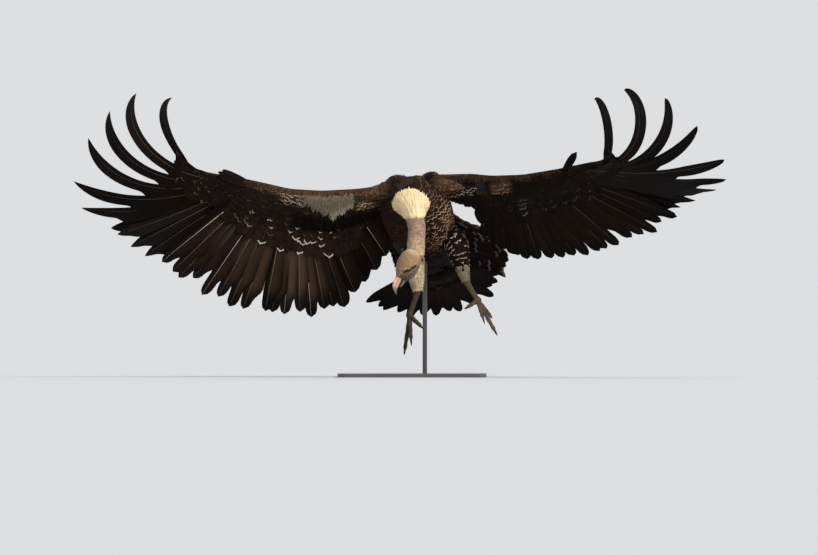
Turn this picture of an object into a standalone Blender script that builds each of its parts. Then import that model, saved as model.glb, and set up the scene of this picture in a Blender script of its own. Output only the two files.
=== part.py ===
"""Rüppell's vulture in landing flight, a still life-size model on a display stand.

Metres, +Z up, origin under the middle of the stand's base. The bird faces -Y, so its right wing
is on -X. A wing is worked out in outboard coordinates, where x grows from the body to the tip on
both sides, and its sign turns it to its own side.
"""

import math

import bmesh
import bpy
import numpy as np

# --- driving dimensions --------------------------------------------------------------------------
GAP = 0.0003  # between solids that touch
VANE_GAP = 0.0012  # between a vane and what it grows from
GROUP_GAP = 0.08  # each side of where two groups of feathers meet, as a share of their spacing
VANE_THICKNESS = 0.003  # flight and tail feathers
PRIMARIES = 10
SECONDARIES = 16
TERTIALS = 4
TAIL_FEATHERS = 14

TRUNK_FRONT = (-0.008, -0.105, 0.648)
TRUNK_REAR = (0.0735, 0.200, 0.402)
BODY_ROLL = 10.5  # degrees, the left side is the higher one
# station along the trunk from its front, half width, depth to the breast, depth to the back
TRUNK_STATIONS = (
    (-0.034, 0.040, 0.030, 0.030),
    (-0.018, 0.074, 0.060, 0.054),
    (0.020, 0.104, 0.094, 0.078),
    (0.070, 0.124, 0.116, 0.088),
    (0.140, 0.126, 0.122, 0.084),
    (0.215, 0.118, 0.112, 0.074),
    (0.290, 0.102, 0.086, 0.062),
    (0.350, 0.080, 0.058, 0.050),
    (0.395, 0.058, 0.040, 0.040),
)

NECK_BASE = (0.000, -0.150, 0.590)
NECK_MIDDLE = (0.014, -0.232, 0.515)
NAPE = (0.006, -0.304, 0.418)
NECK_RADIUS = 0.031
RUFF_BACK = (-0.006, -0.100, 0.622)
RUFF_LENGTH = 0.105
RUFF_WIDTH = 0.073
RUFF_HEIGHT = 0.058

HEAD_CENTRE = (-0.019, -0.318, 0.384)
BILL_DIRECTION = (-0.40, -0.22, -0.89)
CROWN_DIRECTION = (-0.70, -0.66, 0.30)
BILL_LENGTH = 0.062
EYE_RADIUS = 0.0095

WINGS = {
    "right": {
        "sign": -1.0,
        "shoulder": (0.085, -0.070, 0.660),
        "elbow": (0.335, -0.127, 0.559),
        "wrist": (0.560, -0.230, 0.6615),
        "hand_tip": (0.7245, -0.310, 0.6965),
        "leading_edge": (
            (0.100, -0.090, 0.690), (0.203, -0.122, 0.657), (0.313, -0.160, 0.651),
            (0.424, -0.200, 0.657), (0.550, -0.246, 0.686), (0.640, -0.284, 0.702), (0.742, -0.325, 0.719),
        ),
        "arm_pitch": 28.0,
        "arm_sweep": 22.0,
        "hand_pitch": 35.0,
        "lift_turn": 34.0,
        "lift_lean": 0.0,
        "curl_onset": 1.2,
        "primary_lengths": (0.44, 0.45, 0.465, 0.475, 0.565, 0.578, 0.578, 0.54, 0.50, 0.41),
        "primary_fan": (-50, -48, -46, -47, -44, -40, -34, -22, -5, 22),
        "primary_curl": (-10, 0, 13, 28, 46, 62, 95, 111, 123, 136),
        "secondary_lengths": (0.411, 0.413, 0.394, 0.228),
        "secondary_fan": (52.0, 22.0, -8.0, -32.0),
        "alula": ((0.552, -0.262, 0.690), (0.678, -0.318, 0.720)),
    },
    "left": {
        "sign": 1.0,
        "shoulder": (0.095, -0.075, 0.680),
        "elbow": (0.320, -0.115, 0.639),
        "wrist": (0.5215, -0.270, 0.7105),
        "hand_tip": (0.651, -0.448, 0.735),
        "leading_edge": (
            (0.098, -0.095, 0.712), (0.199, -0.130, 0.709), (0.279, -0.165, 0.702),
            (0.379, -0.210, 0.705), (0.520, -0.285, 0.728), (0.600, -0.375, 0.745), (0.672, -0.462, 0.755),
        ),
        "arm_pitch": 50.0,
        "arm_sweep": 18.0,
        "hand_pitch": 68.0,
        "lift_turn": 76.0,
        "lift_lean": -18.0,
        "curl_onset": 1.87,
        "primary_lengths": (0.44, 0.455, 0.47, 0.51, 0.545, 0.558, 0.496, 0.475, 0.473, 0.408),
        "primary_fan": (-60, -57, -54, -49, -37, -29, -22, -19, -4, 24),
        "primary_curl": (-2, 8, 15, 14, 13, 24, 59, 115, 160, 191),
        "secondary_lengths": (0.426, 0.393, 0.354, 0.180),
        "secondary_fan": (63.0, 36.0, 9.0, -10.0),
        "alula": ((0.528, -0.300, 0.733), (0.572, -0.365, 0.784)),
    },
}
# free length past the notches between neighbouring primaries, innermost first
PRIMARY_FREE = (0.05, 0.05, 0.055, 0.10, 0.19, 0.25, 0.29, 0.30, 0.29)
SECONDARY_FREE = 0.055
FINGER_HALF_WIDTH = 0.0175
FINGER_TURN = 0.75  # how far a finger's vane turns to face forward at its tip
INNER_HALF_WIDTH = 0.0245
COVERT_REACH_HAND = 0.115  # where a primary leaves its coverts, from its root
COVERT_REACH_ARM = 0.130
HAND_THICKNESS = (0.036, 0.014)  # of its coverts, at the wrist and at the tip
ARM_THICKNESS = (0.036, 0.058)  # at the wrist and at the shoulder
SHOULDER_CHORD = 0.15
SHOULDER_THICKNESS = 0.070
SHOULDER_SINK = 0.035  # how deep the wing's root is set into the trunk

TAIL_LENGTH = 0.285
TAIL_SPREAD = 62.0  # degrees each side
TAIL_DROP = 33.0  # degrees under the horizontal
TAIL_YAW = 0.12  # its slope to the bird's left
TAIL_COVERT_REACH = 0.135
TAIL_FREE = 0.045
TAIL_HALF_WIDTH = 0.020

LEGS = {
    "right": {
        "hip": (0.000, 0.075, 0.500),
        "knee": (0.004, -0.010, 0.440),
        "hock": (0.021, -0.030, 0.302),
        "foot": (-0.008, -0.062, 0.216),
        "toes": {
            "middle": ((-0.14, -0.10, -0.99), 0.118, 16),
            "inner": ((0.62, -0.50, -0.60), 0.058, 60),
            "outer": ((0.05, -0.42, -0.90), 0.088, 26),
            "hind": ((0.45, 0.72, -0.52), 0.044, 62),
        },
    },
    "left": {
        "hip": (0.115, 0.060, 0.520),
        "knee": (0.158, -0.020, 0.455),
        "hock": (0.188, -0.020, 0.338),
        "foot": (0.230, -0.055, 0.268),
        "toes": {
            "middle": ((0.48, -0.14, -0.86), 0.118, 10),
            "inner": ((0.22, -0.62, -0.75), 0.072, 22),
            "outer": ((0.60, 0.30, -0.74), 0.070, 18),
            "hind": ((-0.80, -0.28, -0.52), 0.042, 66),
        },
    },
}
THIGH_RADIUS = 0.046
TARSUS_RADIUS = 0.0105
TOE_RADIUS = 0.0078
CLAW_LENGTH = 0.032
FOOT_RADIUS = 0.0135

# the long feathers from the flank to the tail's corner: where they start on the trunk, as stations
# along it and shares of its half width, and where they end, out, along and up from there
FLANK_ROOTS = ((0.13, 0.80), (0.18, 0.82), (0.23, 0.80), (0.28, 0.74), (0.34, 0.60))
FLANK_REACH = {
    "left": (
        (0.010, 0.060, 0.000), (0.055, 0.080, 0.010), (0.090, 0.105, 0.010),
        (0.120, 0.120, 0.000), (0.150, 0.120, 0.000),
    ),
    "right": (
        (0.000, 0.060, 0.000), (0.005, 0.090, 0.000), (0.015, 0.110, 0.000),
        (0.030, 0.115, 0.000), (0.050, 0.110, 0.000),
    ),
}
FLANK_THICKNESS = 0.030

BASE_SIZE = (0.52, 0.44, 0.012)
BASE_CORNER = 0.030
ROD_RADIUS = 0.008
ROD_FOOT = (0.045, 0.060)

COLOURS = {
    "dark_feather": ((0.045, 0.030, 0.022), 0.75, 0.0),
    "breast_feather": ((0.10, 0.065, 0.045), 0.80, 0.0),
    "ruff_feather": ((0.80, 0.70, 0.50), 0.90, 0.0),
    "down_skin": ((0.50, 0.42, 0.36), 0.80, 0.0),
    "head_skin": ((0.36, 0.26, 0.19), 0.70, 0.0),
    "bill_horn": ((0.62, 0.38, 0.28), 0.35, 0.0),
    "eye_gloss": ((0.10, 0.05, 0.02), 0.08, 0.0),
    "leg_skin": ((0.28, 0.25, 0.19), 0.65, 0.0),
    "claw_horn": ((0.03, 0.027, 0.025), 0.30, 0.0),
    "stand_metal": ((0.06, 0.06, 0.065), 0.45, 0.6),
}


# --- small helpers -------------------------------------------------------------------------------
def vec(*values):
    return np.array(values if len(values) > 1 else values[0], float)


def unit(vector):
    return vector / np.linalg.norm(vector)


def across(vector, axis):
    """The part of vector square to axis, at length one."""
    return unit(vector - np.dot(vector, axis) * axis)


def blend(values, t):
    """A smooth curve through evenly spaced values, at t from 0 to 1 (Lagrange form)."""
    knots = np.linspace(0.0, 1.0, len(values))
    total = 0.0
    for i, value in enumerate(values):
        others = [j for j in range(len(values)) if j != i]
        total += value * math.prod((t - knots[j]) / (knots[i] - knots[j]) for j in others)
    return total


def between(points, t):
    """Straight-line interpolation along a list of points or numbers, at index t."""
    low = min(max(int(math.floor(t)), 0), len(points) - 2)
    a = np.asarray(points[low], float)
    b = np.asarray(points[low + 1], float)
    return a + (b - a) * (t - low)


def material(slot):
    made = bpy.data.materials.get(slot)
    if made:
        return made
    made = bpy.data.materials.new(slot)
    made.use_nodes = True
    colour, roughness, metallic = COLOURS[slot]
    shader = made.node_tree.nodes["Principled BSDF"]
    shader.inputs["Base Color"].default_value = (*colour, 1.0)
    shader.inputs["Roughness"].default_value = roughness
    shader.inputs["Metallic"].default_value = metallic
    return made


def add_mesh(name, points, faces, slot):
    mesh = bpy.data.meshes.new(name)
    mesh.from_pydata([tuple(map(float, p)) for p in points], [], faces)
    mesh.validate()
    shape = bmesh.new()
    shape.from_mesh(mesh)
    bmesh.ops.recalc_face_normals(shape, faces=shape.faces)
    # triangles, so that a socket is cut along the very faces that the piece has
    bmesh.ops.triangulate(shape, faces=shape.faces)
    shape.to_mesh(mesh)
    shape.free()
    mesh.shade_smooth()
    mesh.set_sharp_from_angle(angle=math.radians(50.0))
    mesh.materials.append(material(slot))
    made = bpy.data.objects.new(name, mesh)
    bpy.context.scene.collection.objects.link(made)
    return made


def skin_rings(rings):
    """Points and faces of closed rings joined in order, with flat ends."""
    count = len(rings[0])
    points = [p for ring in rings for p in ring]
    faces = []
    for i in range(len(rings) - 1):
        for j in range(count):
            k = (j + 1) % count
            faces.append((i * count + j, i * count + k, (i + 1) * count + k, (i + 1) * count + j))
    faces.append(tuple(reversed(range(count))))
    faces.append(tuple((len(rings) - 1) * count + j for j in range(count)))
    return points, faces


def ellipse(centre, side, up, half_width, above, below, sides, square=1.0):
    """A ring of points with its own depth above and below the side axis; square < 1 fills its corners."""
    ring = []
    for i in range(sides):
        turn = 2 * math.pi * i / sides
        height = above if math.sin(turn) >= 0 else below
        x = math.copysign(abs(math.cos(turn)) ** square, math.cos(turn))
        y = math.copysign(abs(math.sin(turn)) ** square, math.sin(turn))
        ring.append(centre + side * half_width * x + up * height * y)
    return ring


def tube(name, path, radii, slot, sides=10, up=(0.0, -1.0, 0.0), flat=1.0):
    """A round piece along a path. flat is its depth against its width."""
    path = [vec(p) for p in path]
    rings = []
    for i, point in enumerate(path):
        along = unit(path[min(i + 1, len(path) - 1)] - path[max(i - 1, 0)])
        lift = across(vec(up), along)
        side = np.cross(along, lift)
        rings.append(ellipse(point, side, lift, radii[i], radii[i] * flat, radii[i] * flat, sides))
    points, faces = skin_rings(rings)
    return add_mesh(name, points, faces, slot)


def socket(target, piece, clearance=GAP * 1.5):
    """Cuts room for a piece out of the one that it is set into, a little larger than the piece."""
    made = bpy.data.objects.new(f"{piece.name}_room_in_{target.name}", piece.data.copy())
    bpy.context.scene.collection.objects.link(made)
    shape = bmesh.new()
    shape.from_mesh(made.data)
    shape.normal_update()
    moves = [(v, v.normal * clearance) for v in shape.verts]
    for vertex, move in moves:
        vertex.co += move
    shape.to_mesh(made.data)
    shape.free()
    made.hide_render = True
    made.display_type = "WIRE"
    cut = target.modifiers.new(f"Room for {piece.name}", "BOOLEAN")
    cut.operation = "DIFFERENCE"
    cut.object = made


def join_on(target, piece):
    """Unites a piece with its neighbour; the piece stays only as a helper."""
    piece.hide_render = True
    piece.display_type = "WIRE"
    joined = target.modifiers.new(f"Join {piece.name}", "BOOLEAN")
    joined.operation = "UNION"
    joined.object = piece


# --- body axes -----------------------------------------------------------------------------------
def body_axes():
    """Along the trunk to the tail, towards the bird's left, and towards its back."""
    along = unit(vec(TRUNK_REAR) - vec(TRUNK_FRONT))
    roll = math.radians(BODY_ROLL)
    left = across(vec(math.cos(roll), 0.0, math.sin(roll)), along)
    back = np.cross(left, along)
    return along, left, back


# --- wings ---------------------------------------------------------------------------------------
def hand_axes(wing):
    """Along the hand, towards its leading edge, and out of its upper face."""
    span = unit(vec(wing["hand_tip"]) - vec(wing["wrist"]))
    edge = across(vec(0.0, 0.0, 1.0), span)
    upper = -np.cross(span, edge)
    pitch = math.radians(wing["hand_pitch"])
    return (
        span,
        math.cos(pitch) * edge - math.sin(pitch) * upper,
        math.cos(pitch) * upper + math.sin(pitch) * edge,
    )


def primary(wing, index):
    """Root, first direction, lift direction, length and curl of a primary, 0 being the innermost."""
    span, edge, upper = hand_axes(wing)
    share = index / (PRIMARIES - 1)
    fan = math.radians(between(wing["primary_fan"], index))
    turn = math.radians(wing["lift_turn"]) * share
    lean = math.radians(wing["lift_lean"])
    along = math.cos(fan) * span + math.sin(fan) * edge
    lift = math.cos(turn) * upper + math.sin(turn) * vec(math.sin(lean), 0.0, math.cos(lean))
    root = between((wing["wrist"], wing["hand_tip"]), share)
    length = float(between(wing["primary_lengths"], index))
    return root, along, across(lift, along), length, math.radians(between(wing["primary_curl"], index))


def secondary(wing, index):
    """The same for a secondary or tertial, 0 being the outermost secondary."""
    count = SECONDARIES + TERTIALS
    share = index / (count - 1)
    pitch = math.radians(wing["arm_pitch"])
    sweep = math.radians(wing["arm_sweep"]) * (1 - share)
    fan = math.radians(blend(wing["secondary_fan"], share))
    chord = vec(0.0, math.sin(pitch), -math.cos(pitch))
    outward = vec(math.cos(sweep), -math.sin(sweep), 0.0)
    along = unit(math.cos(fan) * chord + math.sin(fan) * outward)
    elbow = vec(wing["elbow"])
    if index < SECONDARIES - 0.5:
        root = between((wing["wrist"], wing["elbow"]), (index + 0.5) / SECONDARIES)
    else:
        inner = (index - SECONDARIES + 0.5) / TERTIALS
        root = elbow + (vec(wing["shoulder"]) - elbow) * 0.55 * inner
    lift = across(vec(0.0, math.cos(pitch), math.sin(pitch)), along)
    return root, along, lift, blend(wing["secondary_lengths"], share), math.radians(-6.0)


def feather_point(feather, distance, onset):
    """A point at this distance from the root along a feather that curls more and more to its tip."""
    root, along, lift, length, curl = feather
    steps = 12
    point = np.array(root, float)
    step = distance / steps
    for i in range(steps):
        turn = curl * (((i + 0.5) * step) / length) ** onset
        point = point + step * (math.cos(turn) * along + math.sin(turn) * lift)
    return point


def vane_half_width(free_share, widest):
    """Half the width of a feather's free end, rounding to its tip."""
    if free_share <= 0.55:
        return widest * (1.0 - 0.12 * free_share)
    rounding = (free_share - 0.55) / 0.45
    return widest * 0.934 * math.sqrt(max(1.0 - rounding**2.2, 0.0))


def vane_sheet(name, feathers, notches, reach, half_widths, onset, joined, rows, turns, sign, slot):
    """Feathers joined edge to edge up to their notches, with free tips, as one thin solid.

    feathers are their shapes at whole and half indices, so that an even entry is an edge between
    two feathers and an odd one is a feather's own middle.
    """
    points = []
    faces = []

    def add(point):
        points.append((point[0] * sign, point[1], point[2]))
        return len(points) - 1

    def edge_column(position, notch):
        return [
            add(feather_point(feathers[position], reach + (notch - reach) * share, onset))
            for share in joined
        ]

    count = (len(feathers) - 1) // 2
    edges = [edge_column(2 * i, notches[i]) for i in range(count + 1)]
    for i in range(count):
        middle = feathers[2 * i + 1]
        length = middle[3]
        notch = 0.5 * (notches[i] + notches[i + 1])
        front = 0.5 * (vec(points[edges[i][0]]) + vec(points[edges[i + 1][0]]))
        centre = [add(vec(front[0] * sign, front[1], front[2]))]
        for share in joined[1:]:
            centre.append(add(feather_point(middle, reach + (notch - reach) * share, onset)))
        for r in range(len(joined) - 1):
            faces.append((edges[i][r], centre[r], centre[r + 1], edges[i][r + 1]))
            faces.append((centre[r], edges[i + 1][r], edges[i + 1][r + 1], centre[r + 1]))
        width_axis = unit(np.cross(middle[1], middle[2]))
        toward = vec(feathers[2 * i][0]) + 0.3 * vec(feathers[2 * i][1])
        away = vec(feathers[2 * i + 2][0]) + 0.3 * vec(feathers[2 * i + 2][1])
        if np.dot(width_axis, toward - away) < 0:
            width_axis = -width_axis
        last = (edges[i][-1], centre[-1], edges[i + 1][-1])
        for share in rows if turns[i] else rows[-2:]:
            here, one_side, other_side, beyond = (
                feather_point(middle, begin + (length - begin) * share, onset)
                for begin in (notch, notches[i], notches[i + 1], notch + 0.002)
            )
            facing = np.cross(beyond - here, vec(0.0, 1.0, 0.0))
            facing = unit(facing) * np.sign(np.dot(facing, width_axis))
            width = unit(width_axis * (1 - turns[i] * share) + facing * turns[i] * share)
            width *= vane_half_width(share, half_widths[i])
            now = (add(one_side + width), add(here), add(other_side - width))
            faces.append((last[0], last[1], now[1], now[0]))
            faces.append((last[1], last[2], now[2], now[1]))
            last = now
        tip = add(feather_point(middle, length, onset))
        faces.append((last[0], last[1], tip))
        faces.append((last[1], last[2], tip))
    mesh = bpy.data.meshes.new(name)
    mesh.from_pydata(points, [], faces)
    mesh.shade_smooth()
    mesh.materials.append(material(slot))
    made = bpy.data.objects.new(name, mesh)
    bpy.context.scene.collection.objects.link(made)
    shape = bmesh.new()
    shape.from_mesh(mesh)
    bmesh.ops.recalc_face_normals(shape, faces=shape.faces)
    shape.to_mesh(mesh)
    shape.free()
    thick = made.modifiers.new("Vane thickness", "SOLIDIFY")
    thick.thickness = VANE_THICKNESS
    thick.offset = 0.0
    thick.use_even_offset = False
    return made


SECTION = ((0.0, 0.0), (0.07, 0.66), (0.26, 1.0), (0.62, 0.62), (1.0, 0.0))


def covert_body(name, stations, sign, slot):
    """A wing-shaped solid: each station gives its front point, rear point, upper side and thickness."""
    rings = []
    for front, rear, upper, thickness in stations:
        chord = rear - front
        rise = across(upper, unit(chord))
        half_rear = 0.5 * VANE_THICKNESS + 0.0005
        above = [front + chord * a + rise * max(h * thickness / 2, half_rear) for a, h in SECTION[1:]]
        below = [front + chord * a - rise * max(h * thickness / 2, half_rear) for a, h in SECTION[1:]]
        ring = [front] + above + below[::-1]
        rings.append([vec(p[0] * sign, p[1], p[2]) for p in ring])
    points, faces = skin_rings(rings)
    return add_mesh(name, points, faces, slot)


def hand_stations(wing, first, last):
    """Stations of the hand's covert body at each primary's middle and edges, from the wrist out."""
    upper = hand_axes(wing)[2]
    stations = []
    for index in np.linspace(first, last, 11):
        feather = primary(wing, index)
        rear = feather_point(feather, COVERT_REACH_HAND - VANE_GAP, wing["curl_onset"])
        share = (index + 0.5) / PRIMARIES
        front = between(wing["leading_edge"][4:], 2 * min(share, 0.999))
        stations.append((front, rear, upper, between(HAND_THICKNESS, share)))
    return stations


def arm_station(wing, index):
    """A station of the arm's covert body at this secondary, from the wrist in."""
    feather = secondary(wing, index)
    rear = feather_point(feather, COVERT_REACH_ARM - VANE_GAP, wing["curl_onset"])
    share = (index + 0.5) / (SECONDARIES + TERTIALS)
    front = between(wing["leading_edge"], 4.0 - 3.0 * share)
    pitch = math.radians(wing["arm_pitch"])
    upper = vec(0.0, math.cos(pitch), math.sin(pitch))
    return front, rear, upper, between(ARM_THICKNESS, math.sin(math.pi * share / 2))


def make_wing(side):
    wing = WINGS[side]
    sign = wing["sign"]
    onset = wing["curl_onset"]
    trim = GROUP_GAP
    inner = SECONDARIES + TERTIALS

    # hand and its primaries
    stations = hand_stations(wing, -0.5 + trim, PRIMARIES - 0.5)
    hand = covert_body(f"hand_{side}", stations, sign, "dark_feather")
    at = [-0.5 + trim] + [i / 2 for i in range(0, 2 * PRIMARIES - 1)] + [PRIMARIES - 0.5]
    feathers = [primary(wing, max(min(i, PRIMARIES - 0.5), -0.5)) for i in at]
    lengths = [f[3] for f in feathers]
    notches = [lengths[0] - 0.05]
    notches += [lengths[2 * i] - PRIMARY_FREE[i - 1] for i in range(1, PRIMARIES)]
    notches += [COVERT_REACH_HAND + 0.04]
    halves = [INNER_HALF_WIDTH] * 3 + [0.023] + [FINGER_HALF_WIDTH] * 6
    turns = [0.0] * 4 + [FINGER_TURN * k / 3 for k in (1, 2, 3, 3, 3, 3)]
    primaries = vane_sheet(
        f"primaries_{side}", feathers, notches, COVERT_REACH_HAND, halves, onset,
        (0.0, 0.5, 1.0), (0.2, 0.45, 0.7, 0.92), turns, sign, "dark_feather",
    )

    # forearm and secondaries, upper arm and tertials
    parts = (
        ("forearm", "secondaries", -0.5, SECONDARIES - 0.5),
        ("upper_arm", "tertials", SECONDARIES - 0.5, inner - 0.5),
    )
    for body, vanes, first, last in parts:
        count = int(round(last - first))
        steps = [first + trim] + [first + k for k in range(2, count, 2)] + [last - trim]
        stations = [arm_station(wing, index) for index in steps]
        if body == "upper_arm":
            stations.append(shoulder_station(wing))
        made = covert_body(f"{body}_{side}", stations, sign, "dark_feather")
        if body == "upper_arm":
            socket(bpy.data.objects["trunk"], made)
        else:
            socket(made, hand)
            socket(primaries, made)
        at = [steps[0]] + [first + 0.5 * k for k in range(1, 2 * count)] + [steps[-1]]
        feathers = [secondary(wing, index) for index in at]
        notches = [max(f[3] - SECONDARY_FREE, COVERT_REACH_ARM + 0.01) for f in feathers[::2]]
        vane_sheet(
            f"{vanes}_{side}", feathers, notches, COVERT_REACH_ARM, [INNER_HALF_WIDTH] * count, onset,
            (0.0, 1.0), (0.45, 0.86), [0.0] * count, sign, "dark_feather",
        )
    make_alula(side)


def shoulder_station(wing):
    """The wing's root, sunk into the side of the trunk and flatter than the arm."""
    pitch = math.radians(wing["arm_pitch"])
    upper = vec(0.0, math.cos(pitch), math.sin(pitch))
    flatter = pitch + math.radians(20.0)
    edge = vec(wing["leading_edge"][0]) - vec(SHOULDER_SINK, 0.0, 0.0)
    rear = edge + SHOULDER_CHORD * vec(0.0, math.sin(flatter), -math.cos(flatter))
    return edge + vec(0.0, 0.020, -0.022), rear, upper, SHOULDER_THICKNESS


def make_alula(side):
    """The thumb's short stiff feathers, raised off the leading edge."""
    wing = WINGS[side]
    base, tip = (vec(point) for point in wing["alula"])
    path = [base + (tip - base) * t for t in (0.0, 0.3, 0.65, 0.9, 1.0)]
    path = [vec(p[0] * wing["sign"], p[1], p[2]) for p in path]
    radii = (0.009, 0.012, 0.011, 0.006, 0.002)
    made = tube(f"alula_{side}", path, radii, "dark_feather", 8, (0.0, -1.0, 0.0), 0.4)
    for piece in ("hand", "forearm"):
        socket(made, bpy.data.objects[f"{piece}_{side}"])


# --- trunk, tail, neck and head --------------------------------------------------------------------
def make_trunk():
    along, left, back = body_axes()
    rings = []
    for station, width, breast, spine in TRUNK_STATIONS:
        centre = vec(TRUNK_FRONT) + along * station
        rings.append(ellipse(centre, left, back, width, spine, breast, 20, 0.86))
    points, faces = skin_rings(rings)
    return add_mesh("trunk", points, faces, "breast_feather")


def tail_feather(index, along, left, back):
    """Root, direction, lift, length and curl of a tail feather, counted from the bird's right."""
    share = index / (TAIL_FEATHERS - 1)
    turn = math.radians(TAIL_SPREAD * (2 * share - 1))
    direction = math.cos(turn) * along + math.sin(turn) * left
    root = vec(TRUNK_REAR) + direction * 0.02
    length = TAIL_LENGTH * (1.0 - 0.03 * abs(2 * share - 1) ** 2)
    return root, direction, back, length, math.radians(-8.0)


def make_tail():
    _, left, _ = body_axes()
    drop = math.radians(TAIL_DROP)
    along = unit(vec(TAIL_YAW, math.cos(drop), -math.sin(drop)))
    side = across(left, along)
    back = np.cross(side, along)
    steps = [k / 2 - 0.5 for k in range(2 * TAIL_FEATHERS + 1)]
    feathers = [tail_feather(index, along, side, back) for index in steps]
    free = [f[3] - TAIL_FREE for f in feathers[::2]]
    vane_sheet(
        "tail_feathers", feathers, free, TAIL_COVERT_REACH, [TAIL_HALF_WIDTH] * TAIL_FEATHERS, 1.0,
        (0.0, 1.0), (0.7,), [0.0] * TAIL_FEATHERS, 1.0, "dark_feather",
    )
    stations = []
    for feather in feathers[::2]:
        rear = feather_point(feather, TAIL_COVERT_REACH - VANE_GAP, 1.0)
        front = vec(TRUNK_REAR) + feather[1] * 0.012 - along * 0.03
        stations.append((front, rear, back, 0.080))
    tail = covert_body("tail", stations, 1.0, "breast_feather")
    socket(tail, bpy.data.objects["trunk"])


def make_flanks():
    """The long feathers that spread from each flank towards the tail."""
    along, left, back = body_axes()
    widths = [(station, width) for station, width, _, _ in TRUNK_STATIONS]
    for side, sign in (("left", 1.0), ("right", -1.0)):
        stations = []
        for (station, share), (out, on, up) in zip(FLANK_ROOTS, FLANK_REACH[side]):
            half = np.interp(station, [w[0] for w in widths], [w[1] for w in widths])
            front = vec(TRUNK_FRONT) + along * station + left * sign * half * share - back * 0.01
            edge = vec(TRUNK_FRONT) + along * (station + on) + left * sign * (half + out) + back * up
            stations.append((front, edge, back, FLANK_THICKNESS))
        flank = covert_body(f"flank_{side}", stations, 1.0, "breast_feather")
        for piece in ("trunk", "tail", f"thigh_{side}", f"upper_arm_{side}"):
            socket(flank, bpy.data.objects[piece])


def make_neck():
    """The bare neck, from inside the ruff down and forward to the nape."""
    points = [
        between((NECK_BASE, NECK_MIDDLE, NAPE), 2.0 * t) + vec(0.0, -0.012, 0.006) * math.sin(math.pi * t)
        for t in np.linspace(0.0, 1.0, 7)
    ]
    radii = [NECK_RADIUS * r for r in (1.05, 1.02, 0.99, 0.97, 0.98, 1.02, 1.05)]
    return tube("neck", points, radii, "down_skin", 12)


def make_ruff():
    """The collar of long soft feathers that stands up and out from the neck's base."""
    start = vec(NECK_BASE) + 0.15 * (vec(NECK_MIDDLE) - vec(NECK_BASE))
    axis = unit(vec(RUFF_BACK) - start)
    side = across(vec(1.0, 0.0, 0.0), axis)
    up = -np.cross(side, axis)
    rings = []
    for t, size in ((0.0, 0.56), (0.25, 0.80), (0.5, 0.97), (0.72, 1.0), (0.9, 0.86), (1.0, 0.6)):
        centre = start + axis * RUFF_LENGTH * (t - 0.18)
        rings.append(ellipse(centre, side, up, RUFF_WIDTH * size, RUFF_HEIGHT * size, RUFF_HEIGHT * size, 18))
    points, faces = skin_rings(rings)
    ruff = add_mesh("ruff", points, faces, "ruff_feather")
    socket(ruff, bpy.data.objects["neck"])
    socket(bpy.data.objects["trunk"], ruff)


def head_axes():
    bill = unit(vec(BILL_DIRECTION))
    crown = across(vec(CROWN_DIRECTION), bill)
    left = np.cross(crown, bill)
    return bill, crown, left


def make_head():
    bill, crown, left = head_axes()
    centre = vec(HEAD_CENTRE)
    # station along the bill direction, half width, height to the crown, depth to the throat
    stations = (
        (-0.062, 0.020, 0.016, 0.020), (-0.052, 0.030, 0.027, 0.028), (-0.028, 0.037, 0.034, 0.034),
        (0.000, 0.0375, 0.033, 0.034), (0.018, 0.032, 0.0275, 0.027), (0.034, 0.0235, 0.021, 0.020),
        (0.044, 0.0175, 0.018, 0.015),
    )
    rings = [
        ellipse(centre + bill * s, left, crown, w, up, down, 16) for s, w, up, down in stations
    ]
    points, faces = skin_rings(rings)
    head = add_mesh("head", points, faces, "head_skin")
    socket(head, bpy.data.objects["neck"])

    start = centre + bill * (0.044 + GAP)
    upper = []
    for t in (0.0, 0.25, 0.5, 0.72, 0.86, 0.95, 1.0):
        hook = max(t - 0.72, 0.0) / 0.28
        ridge = 0.0185 * (1 - 0.35 * t**2) * (1 - hook**2 * 0.9)
        here = start + bill * (BILL_LENGTH * t - 0.006 * hook**2) - crown * 0.020 * hook**1.6
        side = 0.0145 * (1 - 0.45 * t) * (1 - 0.8 * hook)
        upper.append(ellipse(here + crown * 0.0004, left, crown, side, ridge, 0.0, 12))
    points, faces = half_rings(upper)
    add_mesh("bill_upper", points, faces, "bill_horn")
    lower = []
    for t in (0.0, 0.35, 0.7, 0.92, 1.0):
        size = math.sqrt(1 - 0.85 * t**2)
        here = start + bill * (0.043 * t) - crown * 0.0004
        lower.append(ellipse(here, left, crown, 0.0115 * size, 0.0, 0.011 * size, 12))
    points, faces = half_rings(lower, below=True)
    add_mesh("bill_lower", points, faces, "bill_horn")


def half_rings(rings, below=False):
    """Keeps the half of each ring that has depth, so that the bill's two halves have flat sides."""
    half = len(rings[0]) // 2
    kept = []
    for ring in rings:
        part = ring[half:] + [ring[0]] if below else ring[: half + 1]
        kept.append(part)
    return skin_rings(kept)


def ball(name, centre, radius, slot, detail=2):
    mesh = bpy.data.meshes.new(name)
    shape = bmesh.new()
    bmesh.ops.create_icosphere(shape, subdivisions=detail, radius=radius)
    bmesh.ops.translate(shape, verts=shape.verts, vec=centre)
    shape.to_mesh(mesh)
    shape.free()
    mesh.shade_smooth()
    mesh.materials.append(material(slot))
    made = bpy.data.objects.new(name, mesh)
    bpy.context.scene.collection.objects.link(made)
    return made


def make_eyes():
    """Two balls, each set in a socket of the head."""
    bill, crown, left = head_axes()
    for side, sign in (("left", 1.0), ("right", -1.0)):
        centre = vec(HEAD_CENTRE) + bill * 0.012 + crown * 0.008 + left * sign * 0.0275
        socket(bpy.data.objects["head"], ball(f"eye_{side}", centre, EYE_RADIUS, "eye_gloss"))


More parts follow.
